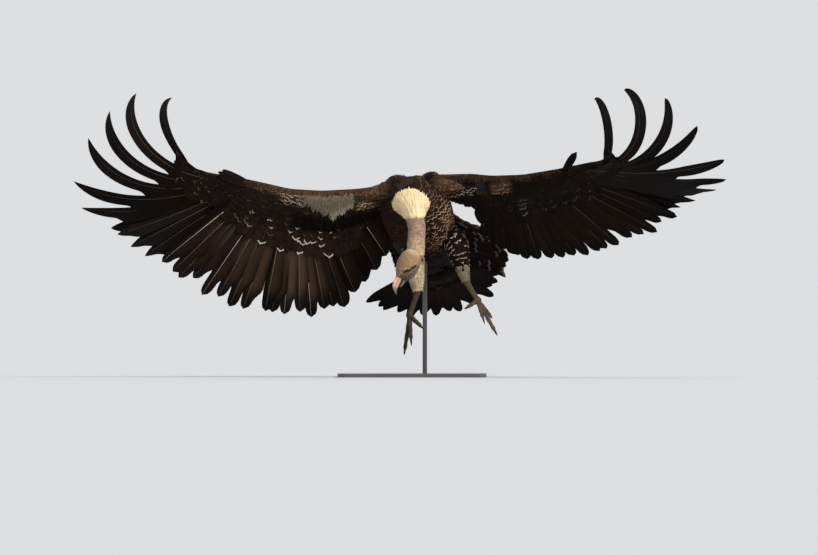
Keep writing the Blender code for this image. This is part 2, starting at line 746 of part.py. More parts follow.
# --- legs ----------------------------------------------------------------------------------------
def make_leg(side):
    leg = LEGS[side]
    hip, knee, hock, foot = (vec(leg[k]) for k in ("hip", "knee", "hock", "foot"))
    path = [hip, hip * 0.5 + knee * 0.5, knee, knee * 0.6 + hock * 0.4, knee * 0.25 + hock * 0.75, hock]
    radii = [THIGH_RADIUS * r for r in (0.8, 1.0, 0.95, 0.78, 0.52, 0.34)]
    thigh = tube(f"thigh_{side}", path, radii, "breast_feather", 14)
    socket(bpy.data.objects["trunk"], thigh)

    start = hock + (hock - foot) * 0.06
    ankle = foot + unit(hock - foot) * FOOT_RADIUS * 0.75
    path = [start, hock, hock * 0.7 + foot * 0.3, hock * 0.3 + foot * 0.7, ankle]
    radii = [TARSUS_RADIUS * r for r in (1.1, 1.3, 1.0, 0.95, 0.95)]
    tarsus = tube(f"tarsus_{side}", path, radii, "leg_skin", 10)
    socket(thigh, tarsus)

    pad = ball(f"foot_{side}", foot, FOOT_RADIUS, "leg_skin", 1)
    socket(tarsus, pad)
    for name, (direction, length, curl) in leg["toes"].items():
        toe, claw = make_toe(f"{name}_{side}", foot, unit(vec(direction)), length, math.radians(curl))
        join_on(pad, toe)
        socket(pad, claw)


def make_toe(label, foot, direction, length, curl):
    """A toe that bends towards its sole, and its claw, which bends on."""
    rear = vec(0.0, 1.0, 0.0) if direction[1] < 0.5 else vec(0.0, -1.0, 0.0)
    sole = across(rear, direction)

    def walk(origin, turn, turns_by, distance, steps):
        points = [origin]
        for i in range(steps):
            angle = turn + turns_by * (i + 0.5) / steps
            heading = math.cos(angle) * direction + math.sin(angle) * sole
            points.append(points[-1] + heading * distance / steps)
        return points

    path = walk(foot + direction * FOOT_RADIUS * 0.3, -curl * 0.4, curl, length, 4)
    swell = (1.15, 1.05, 0.95, 1.0, 0.85)
    toe = tube(f"toe_{label}", path, [TOE_RADIUS * s for s in swell], "leg_skin", 6, -sole)
    claw_start = path[-1] - unit(path[-1] - path[-2]) * 0.004
    claw = walk(claw_start, curl * 0.6, math.radians(75.0), CLAW_LENGTH, 4)
    radii = (0.0050, 0.0050, 0.0037, 0.0021, 0.0006)
    return toe, tube(f"claw_{label}", claw, radii, "claw_horn", 6, -sole)


# --- stand ---------------------------------------------------------------------------------------
def make_stand():
    mesh = bpy.data.meshes.new("stand_base")
    shape = bmesh.new()
    bmesh.ops.create_cube(shape, size=1.0)
    bmesh.ops.scale(shape, vec=BASE_SIZE, verts=shape.verts)
    bmesh.ops.translate(shape, vec=(0.0, 0.0, BASE_SIZE[2] / 2), verts=shape.verts)
    upright = [e for e in shape.edges if abs(e.verts[0].co.z - e.verts[1].co.z) > BASE_SIZE[2] / 2]
    bmesh.ops.bevel(shape, geom=upright, offset=BASE_CORNER, segments=4, affect="EDGES", profile=0.5)
    shape.to_mesh(mesh)
    shape.free()
    mesh.materials.append(material("stand_metal"))
    made = bpy.data.objects.new("stand_base", mesh)
    bpy.context.scene.collection.objects.link(made)

    x, y = ROD_FOOT
    bottom = vec(x, y, BASE_SIZE[2] + GAP)
    top = vec(x, y, rod_top(x, y) - GAP)
    tube("stand_rod", [bottom, top], [ROD_RADIUS, ROD_RADIUS], "stand_metal", 16)


def rod_top(x, y):
    """The height where a rod this wide, standing here, first meets the trunk's underside."""
    trunk = bpy.data.objects["trunk"]
    heights = []
    for i in range(20):
        turn = 2 * math.pi * i / 20
        origin = (x + ROD_RADIUS * math.cos(turn), y + ROD_RADIUS * math.sin(turn), 0.0)
        hit, place, _, _ = trunk.ray_cast(origin, (0.0, 0.0, 1.0))
        heights.append(place.z if hit else 1.0)
    return min(heights)


def main():
    for old in list(bpy.data.objects):
        bpy.data.objects.remove(old, do_unlink=True)
    make_trunk()
    make_neck()
    make_ruff()
    make_head()
    make_eyes()
    for side in ("left", "right"):
        make_wing(side)
        make_leg(side)
    make_tail()
    make_flanks()
    make_stand()


main()
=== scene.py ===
"""A life-size Rüppell's vulture coming in to land: skin, plumage, bill, eyes, feet, stand and studio.

The bird faces -Y, so its right wing is on -X. A wing's shape is worked out in outboard coordinates,
where x grows from the body to the tip on both sides, and its sign turns it to its own side.
"""

from functools import cache
from math import ceil, cos, pi, prod, radians, sin, sqrt, tan
from types import SimpleNamespace

import bmesh
import bpy
import numpy as np
from bpy.props import FloatProperty, FloatVectorProperty, IntProperty, PointerProperty
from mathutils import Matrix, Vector, kdtree
from mathutils.bvhtree import BVHTree


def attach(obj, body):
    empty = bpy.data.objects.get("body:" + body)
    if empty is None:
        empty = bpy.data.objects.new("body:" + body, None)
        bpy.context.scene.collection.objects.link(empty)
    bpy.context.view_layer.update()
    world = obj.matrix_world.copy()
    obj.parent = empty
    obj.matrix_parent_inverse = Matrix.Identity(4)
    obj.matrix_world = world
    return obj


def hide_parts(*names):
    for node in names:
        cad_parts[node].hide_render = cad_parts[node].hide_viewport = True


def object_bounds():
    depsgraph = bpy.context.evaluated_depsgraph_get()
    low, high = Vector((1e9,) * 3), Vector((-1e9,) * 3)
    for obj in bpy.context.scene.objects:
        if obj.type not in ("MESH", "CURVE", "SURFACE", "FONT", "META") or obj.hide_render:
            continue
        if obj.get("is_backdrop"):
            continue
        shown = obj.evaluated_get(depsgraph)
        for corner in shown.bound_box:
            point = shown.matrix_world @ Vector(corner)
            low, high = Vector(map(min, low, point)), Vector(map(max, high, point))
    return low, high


bl_info = {
    "name": "Landing vulture",
    "version": (1, 0, 0),
    "blender": (4, 5, 0),
    "location": "3D View > Sidebar > Vulture",
    "description": "Skin, plumage, bill, eyes, feet, stand and studio of a life-size landing vulture",
    "category": "Object",
}

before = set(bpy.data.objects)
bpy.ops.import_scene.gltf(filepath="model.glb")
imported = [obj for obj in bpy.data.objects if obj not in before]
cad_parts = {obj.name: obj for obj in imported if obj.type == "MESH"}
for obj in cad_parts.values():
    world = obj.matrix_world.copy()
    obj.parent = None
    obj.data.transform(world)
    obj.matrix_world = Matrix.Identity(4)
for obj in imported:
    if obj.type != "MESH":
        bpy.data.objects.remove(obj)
CAD_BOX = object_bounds()

PRIMARIES, SECONDARIES, TERTIALS, TAIL_FEATHERS = 10, 16, 4, 14
TRUNK_FRONT = (-0.008, -0.105, 0.648)
TRUNK_REAR = (0.0735, 0.200, 0.402)
BODY_ROLL = 10.5
NECK_RADIUS = 0.0308
NECK_LINE = ((0.000, -0.150, 0.590), (0.0175, -0.232, 0.515), (0.0115, -0.304, 0.418))
RUFF_BACK = (-0.006, -0.100, 0.622)
RUFF_LENGTH, RUFF_WIDTH, RUFF_HEIGHT = 0.105, 0.063, 0.054
HEAD_CENTRE = (-0.019, -0.318, 0.384)
BILL_DIRECTION = (-0.40, -0.22, -0.89)
CROWN_DIRECTION = (-0.70, -0.66, 0.30)
WINGS = {
    "right": {
        "sign": -1.0,
        "shoulder": (0.085, -0.070, 0.660),
        "elbow": (0.335, -0.127, 0.559),
        "wrist": (0.560, -0.230, 0.6615),
        "hand_tip": (0.7245, -0.310, 0.6965),
        "leading_edge": (
            (0.100, -0.090, 0.690), (0.203, -0.122, 0.657), (0.313, -0.160, 0.651),
            (0.424, -0.200, 0.657), (0.550, -0.246, 0.686), (0.640, -0.284, 0.702), (0.742, -0.325, 0.719),
        ),
        "arm_pitch": 28.0, "arm_sweep": 22.0, "hand_pitch": 35.0, "root_tilt": 20.0,
        "lift_turn": 34.0, "lift_lean": 0.0, "curl_onset": 1.2,
        "primary_lengths": (0.44, 0.45, 0.465, 0.475, 0.565, 0.578, 0.578, 0.54, 0.50, 0.41),
        "primary_fan": (-50, -48, -46, -47, -44, -40, -34, -22, -5, 22),
        "primary_curl": (-10, 0, 13, 28, 46, 62, 95, 111, 123, 136),
        "primary_free": (0.05, 0.05, 0.06, 0.11, 0.24, 0.315, 0.37, 0.385, 0.325),
        "secondary_lengths": (0.411, 0.413, 0.394, 0.228),
        "secondary_fan": (52.0, 22.0, -8.0, -32.0),
        "alula": ((0.530, -0.225, 0.655), (0.678, -0.314, 0.716)), "tertials": 6,
    },
    "left": {
        "sign": 1.0,
        "shoulder": (0.095, -0.075, 0.680),
        "elbow": (0.320, -0.115, 0.639),
        "wrist": (0.5215, -0.270, 0.7105),
        "hand_tip": (0.651, -0.448, 0.735),
        "leading_edge": (
            (0.098, -0.095, 0.712), (0.199, -0.130, 0.709), (0.279, -0.165, 0.702),
            (0.379, -0.210, 0.705), (0.520, -0.285, 0.728), (0.600, -0.375, 0.745), (0.672, -0.462, 0.755),
        ),
        "arm_pitch": 50.0, "arm_sweep": 18.0, "hand_pitch": 68.0, "root_tilt": 11.0,
        "lift_turn": 76.0, "lift_lean": -18.0, "curl_onset": 1.87,
        "primary_lengths": (0.44, 0.455, 0.47, 0.51, 0.545, 0.552, 0.492, 0.470, 0.463, 0.388),
        "primary_fan": (-60, -57, -54, -49, -37, -29, -22, -19, -4, 24),
        "primary_curl": (-2, 8, 15, 14, 13, 24, 59, 115, 160, 176),
        "primary_free": (0.05, 0.05, 0.055, 0.10, 0.205, 0.25, 0.335, 0.33, 0.305),
        "secondary_lengths": (0.426, 0.393, 0.354, 0.200),
        "secondary_fan": (63.0, 36.0, 11.0, 6.0),
        "alula": ((0.512, -0.262, 0.690), (0.575, -0.360, 0.786)), "tertials": 3,
    },
}
SECONDARY_FREE = 0.055
FINGER_TURN = 0.95
COVERT_REACH_HAND, COVERT_REACH_ARM, TAIL_COVERT_REACH = 0.115, 0.130, 0.135
TAIL_LENGTH, TAIL_SPREAD, TAIL_DROP, TAIL_YAW = 0.285, 62.0, 33.0, 0.12
ARM = ("upper_arm", "forearm", "hand")
LEGS = {
    "right": {
        "hip": (0.000, 0.075, 0.500), "knee": (0.004, -0.010, 0.440),
        "hock": (0.021, -0.030, 0.302), "foot": (-0.008, -0.062, 0.216),
        "toes": {
            "middle": ((-0.14, -0.10, -0.99), 0.118, 16), "inner": ((0.62, -0.50, -0.60), 0.058, 60),
            "outer": ((0.05, -0.42, -0.90), 0.088, 26), "hind": ((0.45, 0.72, -0.52), 0.044, 62),
        },
    },
    "left": {
        "hip": (0.115, 0.060, 0.520), "knee": (0.158, -0.020, 0.455),
        "hock": (0.188, -0.020, 0.338), "foot": (0.230, -0.055, 0.268),
        "toes": {
            "middle": ((0.48, -0.14, -0.86), 0.118, 10), "inner": ((0.22, -0.62, -0.75), 0.072, 22),
            "outer": ((0.60, 0.30, -0.74), 0.070, 18), "hind": ((-0.80, -0.28, -0.52), 0.042, 66),
        },
    },
}
TARSUS_GIRTH = ((-0.22, -0.05, 0.03, 0.25, 0.6, 0.85, 1.0), (0.8, 1.1, 1.26, 0.98, 0.88, 0.95, 1.05))
CLAW_GIRTH = ((0, 0.1, 0.3, 0.55, 0.8, 1.0), (0.0046, 0.0052, 0.0049, 0.0037, 0.0021, 0.0005))
CLAW_LENGTH, FOOT_RADIUS, TARSUS_RADIUS, TOE_RADIUS = 0.032, 0.0135, 0.0105, 0.0078
SHOULDER_CHORD, SHOULDER_SINK = 0.15, 0.035
SHOULDERS = {  # outboard points of the scapulars' mound, with its radius
    "right": (
        (0.000, -0.074, 0.655, 0.012), (0.022, -0.080, 0.664, 0.032),
        (0.049, -0.084, 0.672, 0.038), (0.080, -0.090, 0.653, 0.037),
        (0.120, -0.098, 0.645, 0.028), (0.165, -0.108, 0.637, 0.016), (0.200, -0.112, 0.634, 0.008),
    ),
    "left": (
        (0.012, -0.074, 0.660, 0.012), (0.038, -0.080, 0.668, 0.032),
        (0.068, -0.085, 0.681, 0.039), (0.092, -0.090, 0.670, 0.036),
        (0.130, -0.098, 0.666, 0.028), (0.172, -0.104, 0.667, 0.016), (0.210, -0.106, 0.668, 0.008),
    ),
}
TUFT_PATCH = 0.003  # how wide one feather's patch is on the skin's map


# --- settings ---
def colour(name, description, value):
    return FloatVectorProperty(
        name=name, description=description, default=value, size=3, subtype="COLOR", min=0.0, max=1.0
    )


def length(name, description, value):
    return FloatProperty(name=name, description=description, default=value, unit="LENGTH", min=0.0)


class VulturePlumage(bpy.types.PropertyGroup):
    black: colour("Black", "Tips of the flight feathers and the fingers", (0.0070, 0.0052, 0.0048))
    brown: colour("Brown", "Vanes of the secondaries", (0.044, 0.025, 0.015))
    covert: colour("Coverts", "Under wing coverts", (0.0125, 0.0082, 0.0066))
    back: colour("Back", "Upper wing coverts and back", (0.052, 0.033, 0.022))
    breast: colour("Breast", "Breast and thigh feathers", (0.022, 0.0125, 0.0085))
    belly: colour("Belly", "Belly, flank and under tail feathers", (0.0105, 0.0052, 0.0042))
    rufous: colour("Rufous", "Small feathers on the leading edge", (0.165, 0.088, 0.050))
    white: colour("White crescents", "Pale tips of the wing coverts", (0.62, 0.56, 0.46))
    buff: colour("Buff crescents", "Pale tips of the breast feathers", (0.42, 0.27, 0.165))
    grey: colour("Grey crescents", "Pale tips of the flank feathers", (0.20, 0.175, 0.150))
    shaft: colour("Shafts", "Shafts of the flight feathers seen from below", (0.42, 0.33, 0.24))
    wing_down: colour("Wing down", "Bare downy patch inside the leading edge", (0.175, 0.150, 0.105))
    leg_down: colour("Leg down", "Down above the hock", (0.44, 0.35, 0.22))
    ruff: colour("Ruff", "Collar of soft feathers", (0.98, 0.77, 0.47))
    coat_depth: length("Coat depth", "How far the skin lies inside the plumage of the trunk", 0.006)
    breast_feather: length("Breast feather", "Length of a feather of the breast", 0.030)


class VultureSkin(bpy.types.PropertyGroup):
    neck: colour("Neck", "Bare skin of the neck", (0.42, 0.285, 0.22))
    nape: colour("Nape", "Pale down behind the head", (0.60, 0.46, 0.28))
    crown: colour("Crown", "Short down of the crown", (0.42, 0.27, 0.145))
    face: colour("Face", "Bare skin of the cheeks", (0.20, 0.135, 0.095))
    bill: colour("Bill", "Horn of the bill", (0.66, 0.36, 0.23))
    bill_tip: colour("Bill tip", "Tip and cutting edges of the bill", (0.12, 0.095, 0.08))
    cere: colour("Cere", "Soft skin at the bill's base", (0.115, 0.088, 0.066))
    # Painted shade: the iris is darker than its own amber, because the eye lies in the brow's shadow.
    iris: colour("Iris", "Iris of the eye", (0.085, 0.045, 0.016))
    leg: colour("Leg", "Scaled skin of the feet", (0.150, 0.112, 0.068))
    claw: colour("Claw", "Horn of the claws", (0.012, 0.011, 0.010))
    eye_radius: length("Eye radius", "Radius of the eyeball", 0.0088)


class VultureStudio(bpy.types.PropertyGroup):
    stand: colour("Stand", "Paint of the stand", (0.055, 0.055, 0.058))
    floor: colour("Floor", "Floor of the studio", (0.556, 0.568, 0.587))
    camera_distance: length("Camera distance", "From the camera to the bird", 60.0)
    view_width: length("View width", "What the camera spans at the bird", 2.863)
    view_height: length("View height", "Height of the camera over the floor", 0.348)
    seed: IntProperty(name="Seed", description="Start of the random sizes and tints", default=11)


# --- vectors and curves ---
def vec(values):
    return np.array(values, float)


def evenly(count):
    """Even steps from 0 to 1."""
    return np.linspace(0.0, 1.0, count)


def round_angles(count):
    return np.linspace(0, 2 * np.pi, count, endpoint=False)


def unit(v):
    return v / np.maximum(np.linalg.norm(v, axis=-1, keepdims=True), 1e-12)


def dot(a, b):
    return (a * b).sum(-1, keepdims=True)


def across(v, axis):
    """The part of v square to axis, at length one."""
    return unit(v - dot(v, axis) * axis)


def ramp(x, low, high):
    """0 below low, 1 above high, smooth between them."""
    t = np.clip((np.asarray(x, float) - low) / (high - low), 0.0, 1.0)
    return t * t * (3.0 - 2.0 * t)


def blend(values, t):
    """A smooth curve through evenly spaced values, at t from 0 to 1."""
    knots = evenly(len(values))
    total = 0.0
    for i, value in enumerate(values):
        others = [j for j in range(len(values)) if j != i]
        total += value * prod((t - knots[j]) / (knots[i] - knots[j]) for j in others)
    return total


def between(values, t):
    """Straight-line interpolation along evenly spaced rows, at index t, held at the ends."""
    values = np.asarray(values, float)
    t = np.clip(t, 0, len(values) - 1)
    low = np.minimum(np.floor(t).astype(int), len(values) - 2)
    share = np.asarray(t - low)
    if values.ndim == 2:
        share = share[..., None]
    return values[low] * (1 - share) + values[low + 1] * share


def on_path(path, t):
    """Points of a smooth curve through evenly spaced points, at t from 0 to 1 (Catmull-Rom)."""
    path = np.asarray(path, float)
    path = np.concatenate([[2 * path[0] - path[1]], path, [2 * path[-1] - path[-2]]])
    x = np.clip(t, 0, 1) * (len(path) - 3)
    i = np.minimum(x.astype(int), len(path) - 4)
    u = (x - i).reshape(-1, *[1] * (path.ndim - 1))
    a, b, c, d = path[i], path[i + 1], path[i + 2], path[i + 3]
    return 0.5 * (2 * b + (c - a) * u + (2 * a - 5 * b + 4 * c - d) * u**2 + (3 * b - 3 * c + d - a) * u**3)


def body_axes():
    """Along the trunk to the tail, towards the bird's left, and towards its back."""
    along = unit(vec(TRUNK_REAR) - vec(TRUNK_FRONT))
    roll = radians(BODY_ROLL)
    left = across(vec((cos(roll), 0.0, sin(roll))), along)
    return along, left, np.cross(left, along)


def head_axes():
    bill = unit(vec(BILL_DIRECTION))
    crown = across(vec(CROWN_DIRECTION), bill)
    return bill, crown, np.cross(crown, bill)


def in_head(b, c, l):
    """A point of the head: forward along the bill, up to the crown and to the bird's left."""
    forward, up, aside = (np.multiply.outer(size, axis) for size, axis in zip((b, c, l), head_axes()))
    return vec(HEAD_CENTRE) + forward + up + aside


# --- quills ---
class Quill:
    """A feather's midline: it leaves its root along one way and curls more and more towards its tip."""

    def __init__(self, root, along, lift, size, curl, onset):
        self.root, self.along, self.lift = vec(root), vec(along), vec(lift)
        self.size, self.curl, self.onset = float(size), float(curl), onset

    def walk(self, distances):
        """Points and headings at these distances from the root."""
        fine = np.linspace(0.0, max(self.size, np.max(distances)), 121)
        middle = 0.5 * (fine[1:] + fine[:-1])
        turn = self.curl * (middle / self.size) ** self.onset
        heading = np.cos(turn)[:, None] * self.along + np.sin(turn)[:, None] * self.lift
        line = np.vstack([self.root, self.root + np.cumsum(heading, axis=0) * (fine[1] - fine[0])])
        points = np.stack([np.interp(distances, fine, line[:, k]) for k in range(3)], -1)
        turn = self.curl * (np.asarray(distances) / self.size) ** self.onset
        return points, np.cos(turn)[:, None] * self.along + np.sin(turn)[:, None] * self.lift


def hand_axes(wing):
    """Along the hand, towards its leading edge, and out of its upper face."""
    span = unit(vec(wing["hand_tip"]) - vec(wing["wrist"]))
    edge = across(vec((0.0, 0.0, 1.0)), span)
    upper = -np.cross(span, edge)
    pitch = radians(wing["hand_pitch"])
    return (
        span,
        cos(pitch) * edge - sin(pitch) * upper,
        cos(pitch) * upper + sin(pitch) * edge,
    )


def primary(wing, index):
    """The quill of a primary, 0 being the innermost."""
    span, edge, upper = hand_axes(wing)
    share = index / (PRIMARIES - 1)
    fan = radians(between(wing["primary_fan"], index))
    turn = radians(wing["lift_turn"]) * share
    lean = radians(wing["lift_lean"])
    along = cos(fan) * span + sin(fan) * edge
    lift = cos(turn) * upper + sin(turn) * vec((sin(lean), 0.0, cos(lean)))
    wrist, tip = vec(wing["wrist"]), vec(wing["hand_tip"])
    curl = radians(between(wing["primary_curl"], index))
    size = between(wing["primary_lengths"], index)
    return Quill(wrist + (tip - wrist) * share, along, across(lift, along), size, curl, wing["curl_onset"])


def secondary(wing, index):
    """The quill of a secondary or tertial, 0 being the outermost secondary."""
    share = min(index / (SECONDARIES + TERTIALS - 1), 1.03)
    pitch = radians(wing["arm_pitch"])
    sweep = radians(wing["arm_sweep"]) * (1 - share)
    fan = radians(blend(wing["secondary_fan"], share))
    chord = vec((0.0, sin(pitch), -cos(pitch)))
    outward = vec((cos(sweep), -sin(sweep), 0.0))
    along = unit(cos(fan) * chord + sin(fan) * outward)
    wrist, elbow, shoulder = (vec(wing[key]) for key in ("wrist", "elbow", "shoulder"))
    if index < SECONDARIES - 0.5:
        root = wrist + (elbow - wrist) * (index + 0.5) / SECONDARIES
    else:
        root = elbow + (shoulder - elbow) * 0.55 * (index - SECONDARIES + 0.5) / TERTIALS
    lift = across(vec((0.0, cos(pitch), sin(pitch))), along)
    size = blend(wing["secondary_lengths"], share)
    return Quill(root, along, lift, size, radians(-6.0), wing["curl_onset"])


def tail_axes():
    _, left, _ = body_axes()
    drop = radians(TAIL_DROP)
    along = unit(vec((TAIL_YAW, cos(drop), -sin(drop))))
    side = across(left, along)
    return along, side, np.cross(side, along)


def tail_quill(index):
    """The quill of a tail feather, counted from the bird's right."""
    along, side, back = tail_axes()
    share = 2 * index / (TAIL_FEATHERS - 1) - 1
    turn = radians(TAIL_SPREAD) * share
    way = cos(turn) * along + sin(turn) * side
    size = TAIL_LENGTH * (1.0 - 0.03 * share**2 - 0.42 * max(share - 0.4, 0.0) ** 2)
    return Quill(vec(TRUNK_REAR) + way * 0.02, way, back, size, radians(-8.0), 1.0)


# --- meshes ---
def write(target, key, values, kind=np.float32):
    target.foreach_set(key, values.astype(kind).reshape(-1))


def read(source, key, width, kind=np.float32):
    found = np.empty(len(source) * width, kind)
    source.foreach_get(key, found)
    return found.reshape(-1, width)


def numbered(points):
    """The number of each point in a grid."""
    return np.arange(points[..., 0].size).reshape(points.shape[:-1])


def grid_faces(index, closed):
    """Four-cornered faces over rows and columns of point numbers, joined round where the grid is closed."""
    here, after = (index, np.roll(index, -1, -1)) if closed else (index[..., :-1], index[..., 1:])
    corners = (here[..., :-1, :], after[..., :-1, :], after[..., 1:, :], here[..., 1:, :])
    return np.stack(corners, -1).reshape(-1, 4)


class Builder:
    """Gathers pieces of mesh, with values on their points, and makes them one object."""

    def __init__(self):
        self.points, self.faces, self.values = [], [], {}
        self.count = 0

    def add(self, points, faces, **values):
        """Faces are arrays of three or four point numbers, and each of the values has one row for a point."""
        points = points.reshape(-1, 3)
        self.points.append(points)
        self.faces += [f + self.count for f in faces]
        for name, value in values.items():
            self.values.setdefault(name, []).append(np.asarray(value, float).reshape(len(points), -1))
        self.count += len(points)

    def add_sheet(self, points, **values):
        """One open sheet of points in rows and columns."""
        self.add(points, [grid_faces(numbered(points), False)], **values)

    def add_tube(self, rings, caps=True, **values):
        """A closed tube round rings of points."""
        index = numbered(rings)
        faces = [grid_faces(index, True)]
        if caps:
            after = np.roll(index, -1, axis=1)
            low, high = np.full_like(index[0], index.size), np.full_like(index[0], index.size + 1)
            faces += [np.stack([after[0], index[0], low], -1), np.stack([index[-1], after[-1], high], -1)]
            rings = np.vstack([rings.reshape(-1, 3), rings[0].mean(0), rings[-1].mean(0)])
            flat = {key: value.reshape(index.size, -1) for key, value in values.items()}
            values = {key: np.vstack([value, value[0], value[-1]]) for key, value in flat.items()}
        self.add(rings, faces, **values)

    def make(self, name, materials):
        totals = np.concatenate([np.full(len(f), f.shape[1]) for f in self.faces])
        loops = np.concatenate([f.reshape(-1) for f in self.faces])
        mesh = bpy.data.meshes.new(name)
        mesh.vertices.add(self.count)
        mesh.loops.add(len(loops))
        mesh.polygons.add(len(totals))
        write(mesh.vertices, "co", np.concatenate(self.points))
        write(mesh.loops, "vertex_index", loops, np.int32)
        write(mesh.polygons, "loop_start", np.concatenate([[0], np.cumsum(totals)[:-1]]), np.int32)
        write(mesh.polygons, "loop_total", totals, np.int32)
        mesh.update(calc_edges=True)
        mesh.validate()
        mesh.shade_smooth()
        for key, parts in self.values.items():
            values = np.concatenate(parts)
            if key == "place":
                write(mesh.uv_layers.new(name="OFBake").uv, "vector", values[loops])
            else:
                set_values(mesh, key, values)
        for item in materials:
            mesh.materials.append(item)
        return linked(name, mesh)

    def place(self, name, look, slot, *nodes):
        """Makes the object and puts it on the bird."""
        place_piece(self.make(name, [look]), slot, *nodes)


def linked(name, data):
    made = bpy.data.objects.new(name, data)
    bpy.context.scene.collection.objects.link(made)
    return made


def set_values(mesh, key, values):
    """A named value on each point: one number, or a colour."""
    if values.shape[1] == 1:
        write(mesh.attributes.new(key, "FLOAT", "POINT").data, "value", values)
        return
    if values.shape[1] == 3:
        values = np.hstack([values, np.ones((len(values), 1))])
    write(mesh.attributes.new(key, "FLOAT_COLOR", "POINT").data, "color", values)


def tube_rings(path, widths, heights, up, sides):
    """Rings round a path: widths across it and heights along up, with their first point to the side."""
    way = unit(np.gradient(path, axis=0))
    lift = across(np.broadcast_to(vec(up), path.shape), way)
    side = np.cross(way, lift)
    angle = round_angles(sides)
    ring = np.cos(angle)[:, None] * (side * widths[:, None])[:, None]
    ring = ring + np.sin(angle)[:, None] * (lift * heights[:, None])[:, None]
    return path[:, None] + ring


def points_of(mesh):
    return read(mesh.vertices, "co", 3).astype(float)


def normals_of(mesh):
    return read(mesh.vertices, "normal", 3).astype(float)


def move_points(mesh, points):
    write(mesh.vertices, "co", points)
    mesh.update()


def apply_modifiers(item):
    graph = bpy.context.evaluated_depsgraph_get()
    made = bpy.data.meshes.new_from_object(item.evaluated_get(graph))
    old = item.data
    item.modifiers.clear()
    item.data = made
    bpy.data.meshes.remove(old)


def fleshed(name, builder, voxel, smoothing):
    """Makes a builder's overlapping shells one closed surface, and smooths it."""
    item = builder.make(name, [])
    whole = item.modifiers.new("One surface", "REMESH")
    whole.mode = "VOXEL"
    whole.voxel_size = voxel
    soft = item.modifiers.new("Soften", "SMOOTH")
    soft.factor = 0.5
    soft.iterations = smoothing
    apply_modifiers(item)
    return item


def nodes_matching(*starts):
    return [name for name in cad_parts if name.startswith(starts)]


# --- materials ---
class Shader:
    """Short ways to add and join a material's nodes."""

    def __init__(self, name):
        self.material = bpy.data.materials.new(name)
        self.material.use_nodes = True
        self.tree = self.material.node_tree
        self.surface = self.tree.nodes["Principled BSDF"]

    def node(self, kind, inputs=(), **settings):
        made = self.tree.nodes.new("ShaderNode" + kind)
        for key, value in settings.items():
            setattr(made, key, value)
        self.put(made, inputs)
        return made

    def put(self, node, inputs):
        """Sets a node's inputs, each to another node's output or to a plain value."""
        for key, value in dict(inputs).items():
            if hasattr(value, "links"):
                self.tree.links.new(value, node.inputs[key])
            else:
                node.inputs[key].default_value = value

    def math(self, kind, a, b=0.0, c=0.0):
        return self.node("Math", enumerate((a, b, c)), operation=kind).outputs[0]

    def step(self, value, low, high):
        """0 where value is under low, 1 over high, smooth between."""
        inputs = {"Value": value, "From Min": low, "From Max": high}
        return self.node("MapRange", inputs, interpolation_type="SMOOTHSTEP").outputs["Result"]

    def scaled(self, value, low, high):
        """Takes 0 to 1 onto low to high."""
        return self.node("MapRange", {"Value": value, "To Min": low, "To Max": high}).outputs["Result"]

    def mix(self, share, a, b, kind="MIX"):
        ends = {key: end if hasattr(end, "links") else (*end, 1.0) for key, end in (("A", a), ("B", b))}
        made = self.node("Mix", {"Factor": share, **ends}, data_type="RGBA", blend_type=kind)
        return made.outputs["Result"]

    def value(self, name):
        return self.node("Attribute", attribute_name=name)

    def place(self):
        return self.node("TexCoord").outputs["Object"]

    def noise(self, scale, detail=4.0, where=None, rough=0.55):
        inputs = {"Vector": where or self.place(), "Scale": scale, "Detail": detail, "Roughness": rough}
        return self.node("TexNoise", inputs).outputs["Fac"]

    def cells(self, scale):
        return self.node("TexVoronoi", {"Vector": self.place(), "Scale": scale}).outputs["Distance"]

    def bump(self, height, strength, distance):
        made = self.node("Bump", {"Strength": strength, "Distance": distance, "Height": height})
        self.put(self.surface, {"Normal": made.outputs["Normal"]})

    def finish(self, base, roughness, sheen=0.0, coat=0.0, specular=0.5):
        self.put(self.surface, {
            "Base Color": base, "Roughness": roughness, "Sheen Weight": sheen, "Sheen Roughness": 0.5,
            "Coat Weight": coat, "Coat Roughness": 0.06, "Specular IOR Level": specular,
        })
        return self.material


def feather_material(name, barb_count, shine, shaft_width):
    """Feathers with barbs that slant from the shaft, a shaft of its own tone, and a pale rim."""
    made = Shader(name)
    over = made.math("ABSOLUTE", made.value("across").outputs["Fac"])
    along = made.value("along").outputs["Fac"]
    rim = made.value("rim")
    slant = made.math("MULTIPLY_ADD", over, -0.35, along)
    wobble = made.math("MULTIPLY_ADD", made.noise(90.0, 3.0), 0.10, slant)
    barbs = made.math("SINE", made.math("MULTIPLY", wobble, barb_count))
    streak = made.noise(260.0, 2.0)
    tone = made.scaled(made.math("ADD", made.math("MULTIPLY", barbs, 0.25), streak), 0.62, 1.30)
    grey = made.node("CombineColor", dict.fromkeys(("Red", "Green", "Blue"), tone)).outputs["Color"]
    base = made.mix(1.0, made.value("tint").outputs["Color"], grey, "MULTIPLY")
    ragged = made.math("MULTIPLY_ADD", made.noise(420.0, 2.0), 0.22, made.value("edge").outputs["Fac"])
    border = made.math("MULTIPLY", made.step(ragged, 0.80, 0.93), rim.outputs["Alpha"])
    base = made.mix(border, base, rim.outputs["Color"])
    taper = made.math("MULTIPLY_ADD", along, -shaft_width * 0.75, shaft_width)
    on_shaft = made.math("LESS_THAN", over, taper)
    base = made.mix(made.math("MULTIPLY", on_shaft, 0.9), base, made.value("shaft").outputs["Color"])
    made.bump(made.math("ADD", barbs, made.math("MULTIPLY", on_shaft, 2.0)), 0.35, 0.0004)
    return made.finish(base, made.scaled(streak, shine - 0.08, shine + 0.12), specular=0.03)


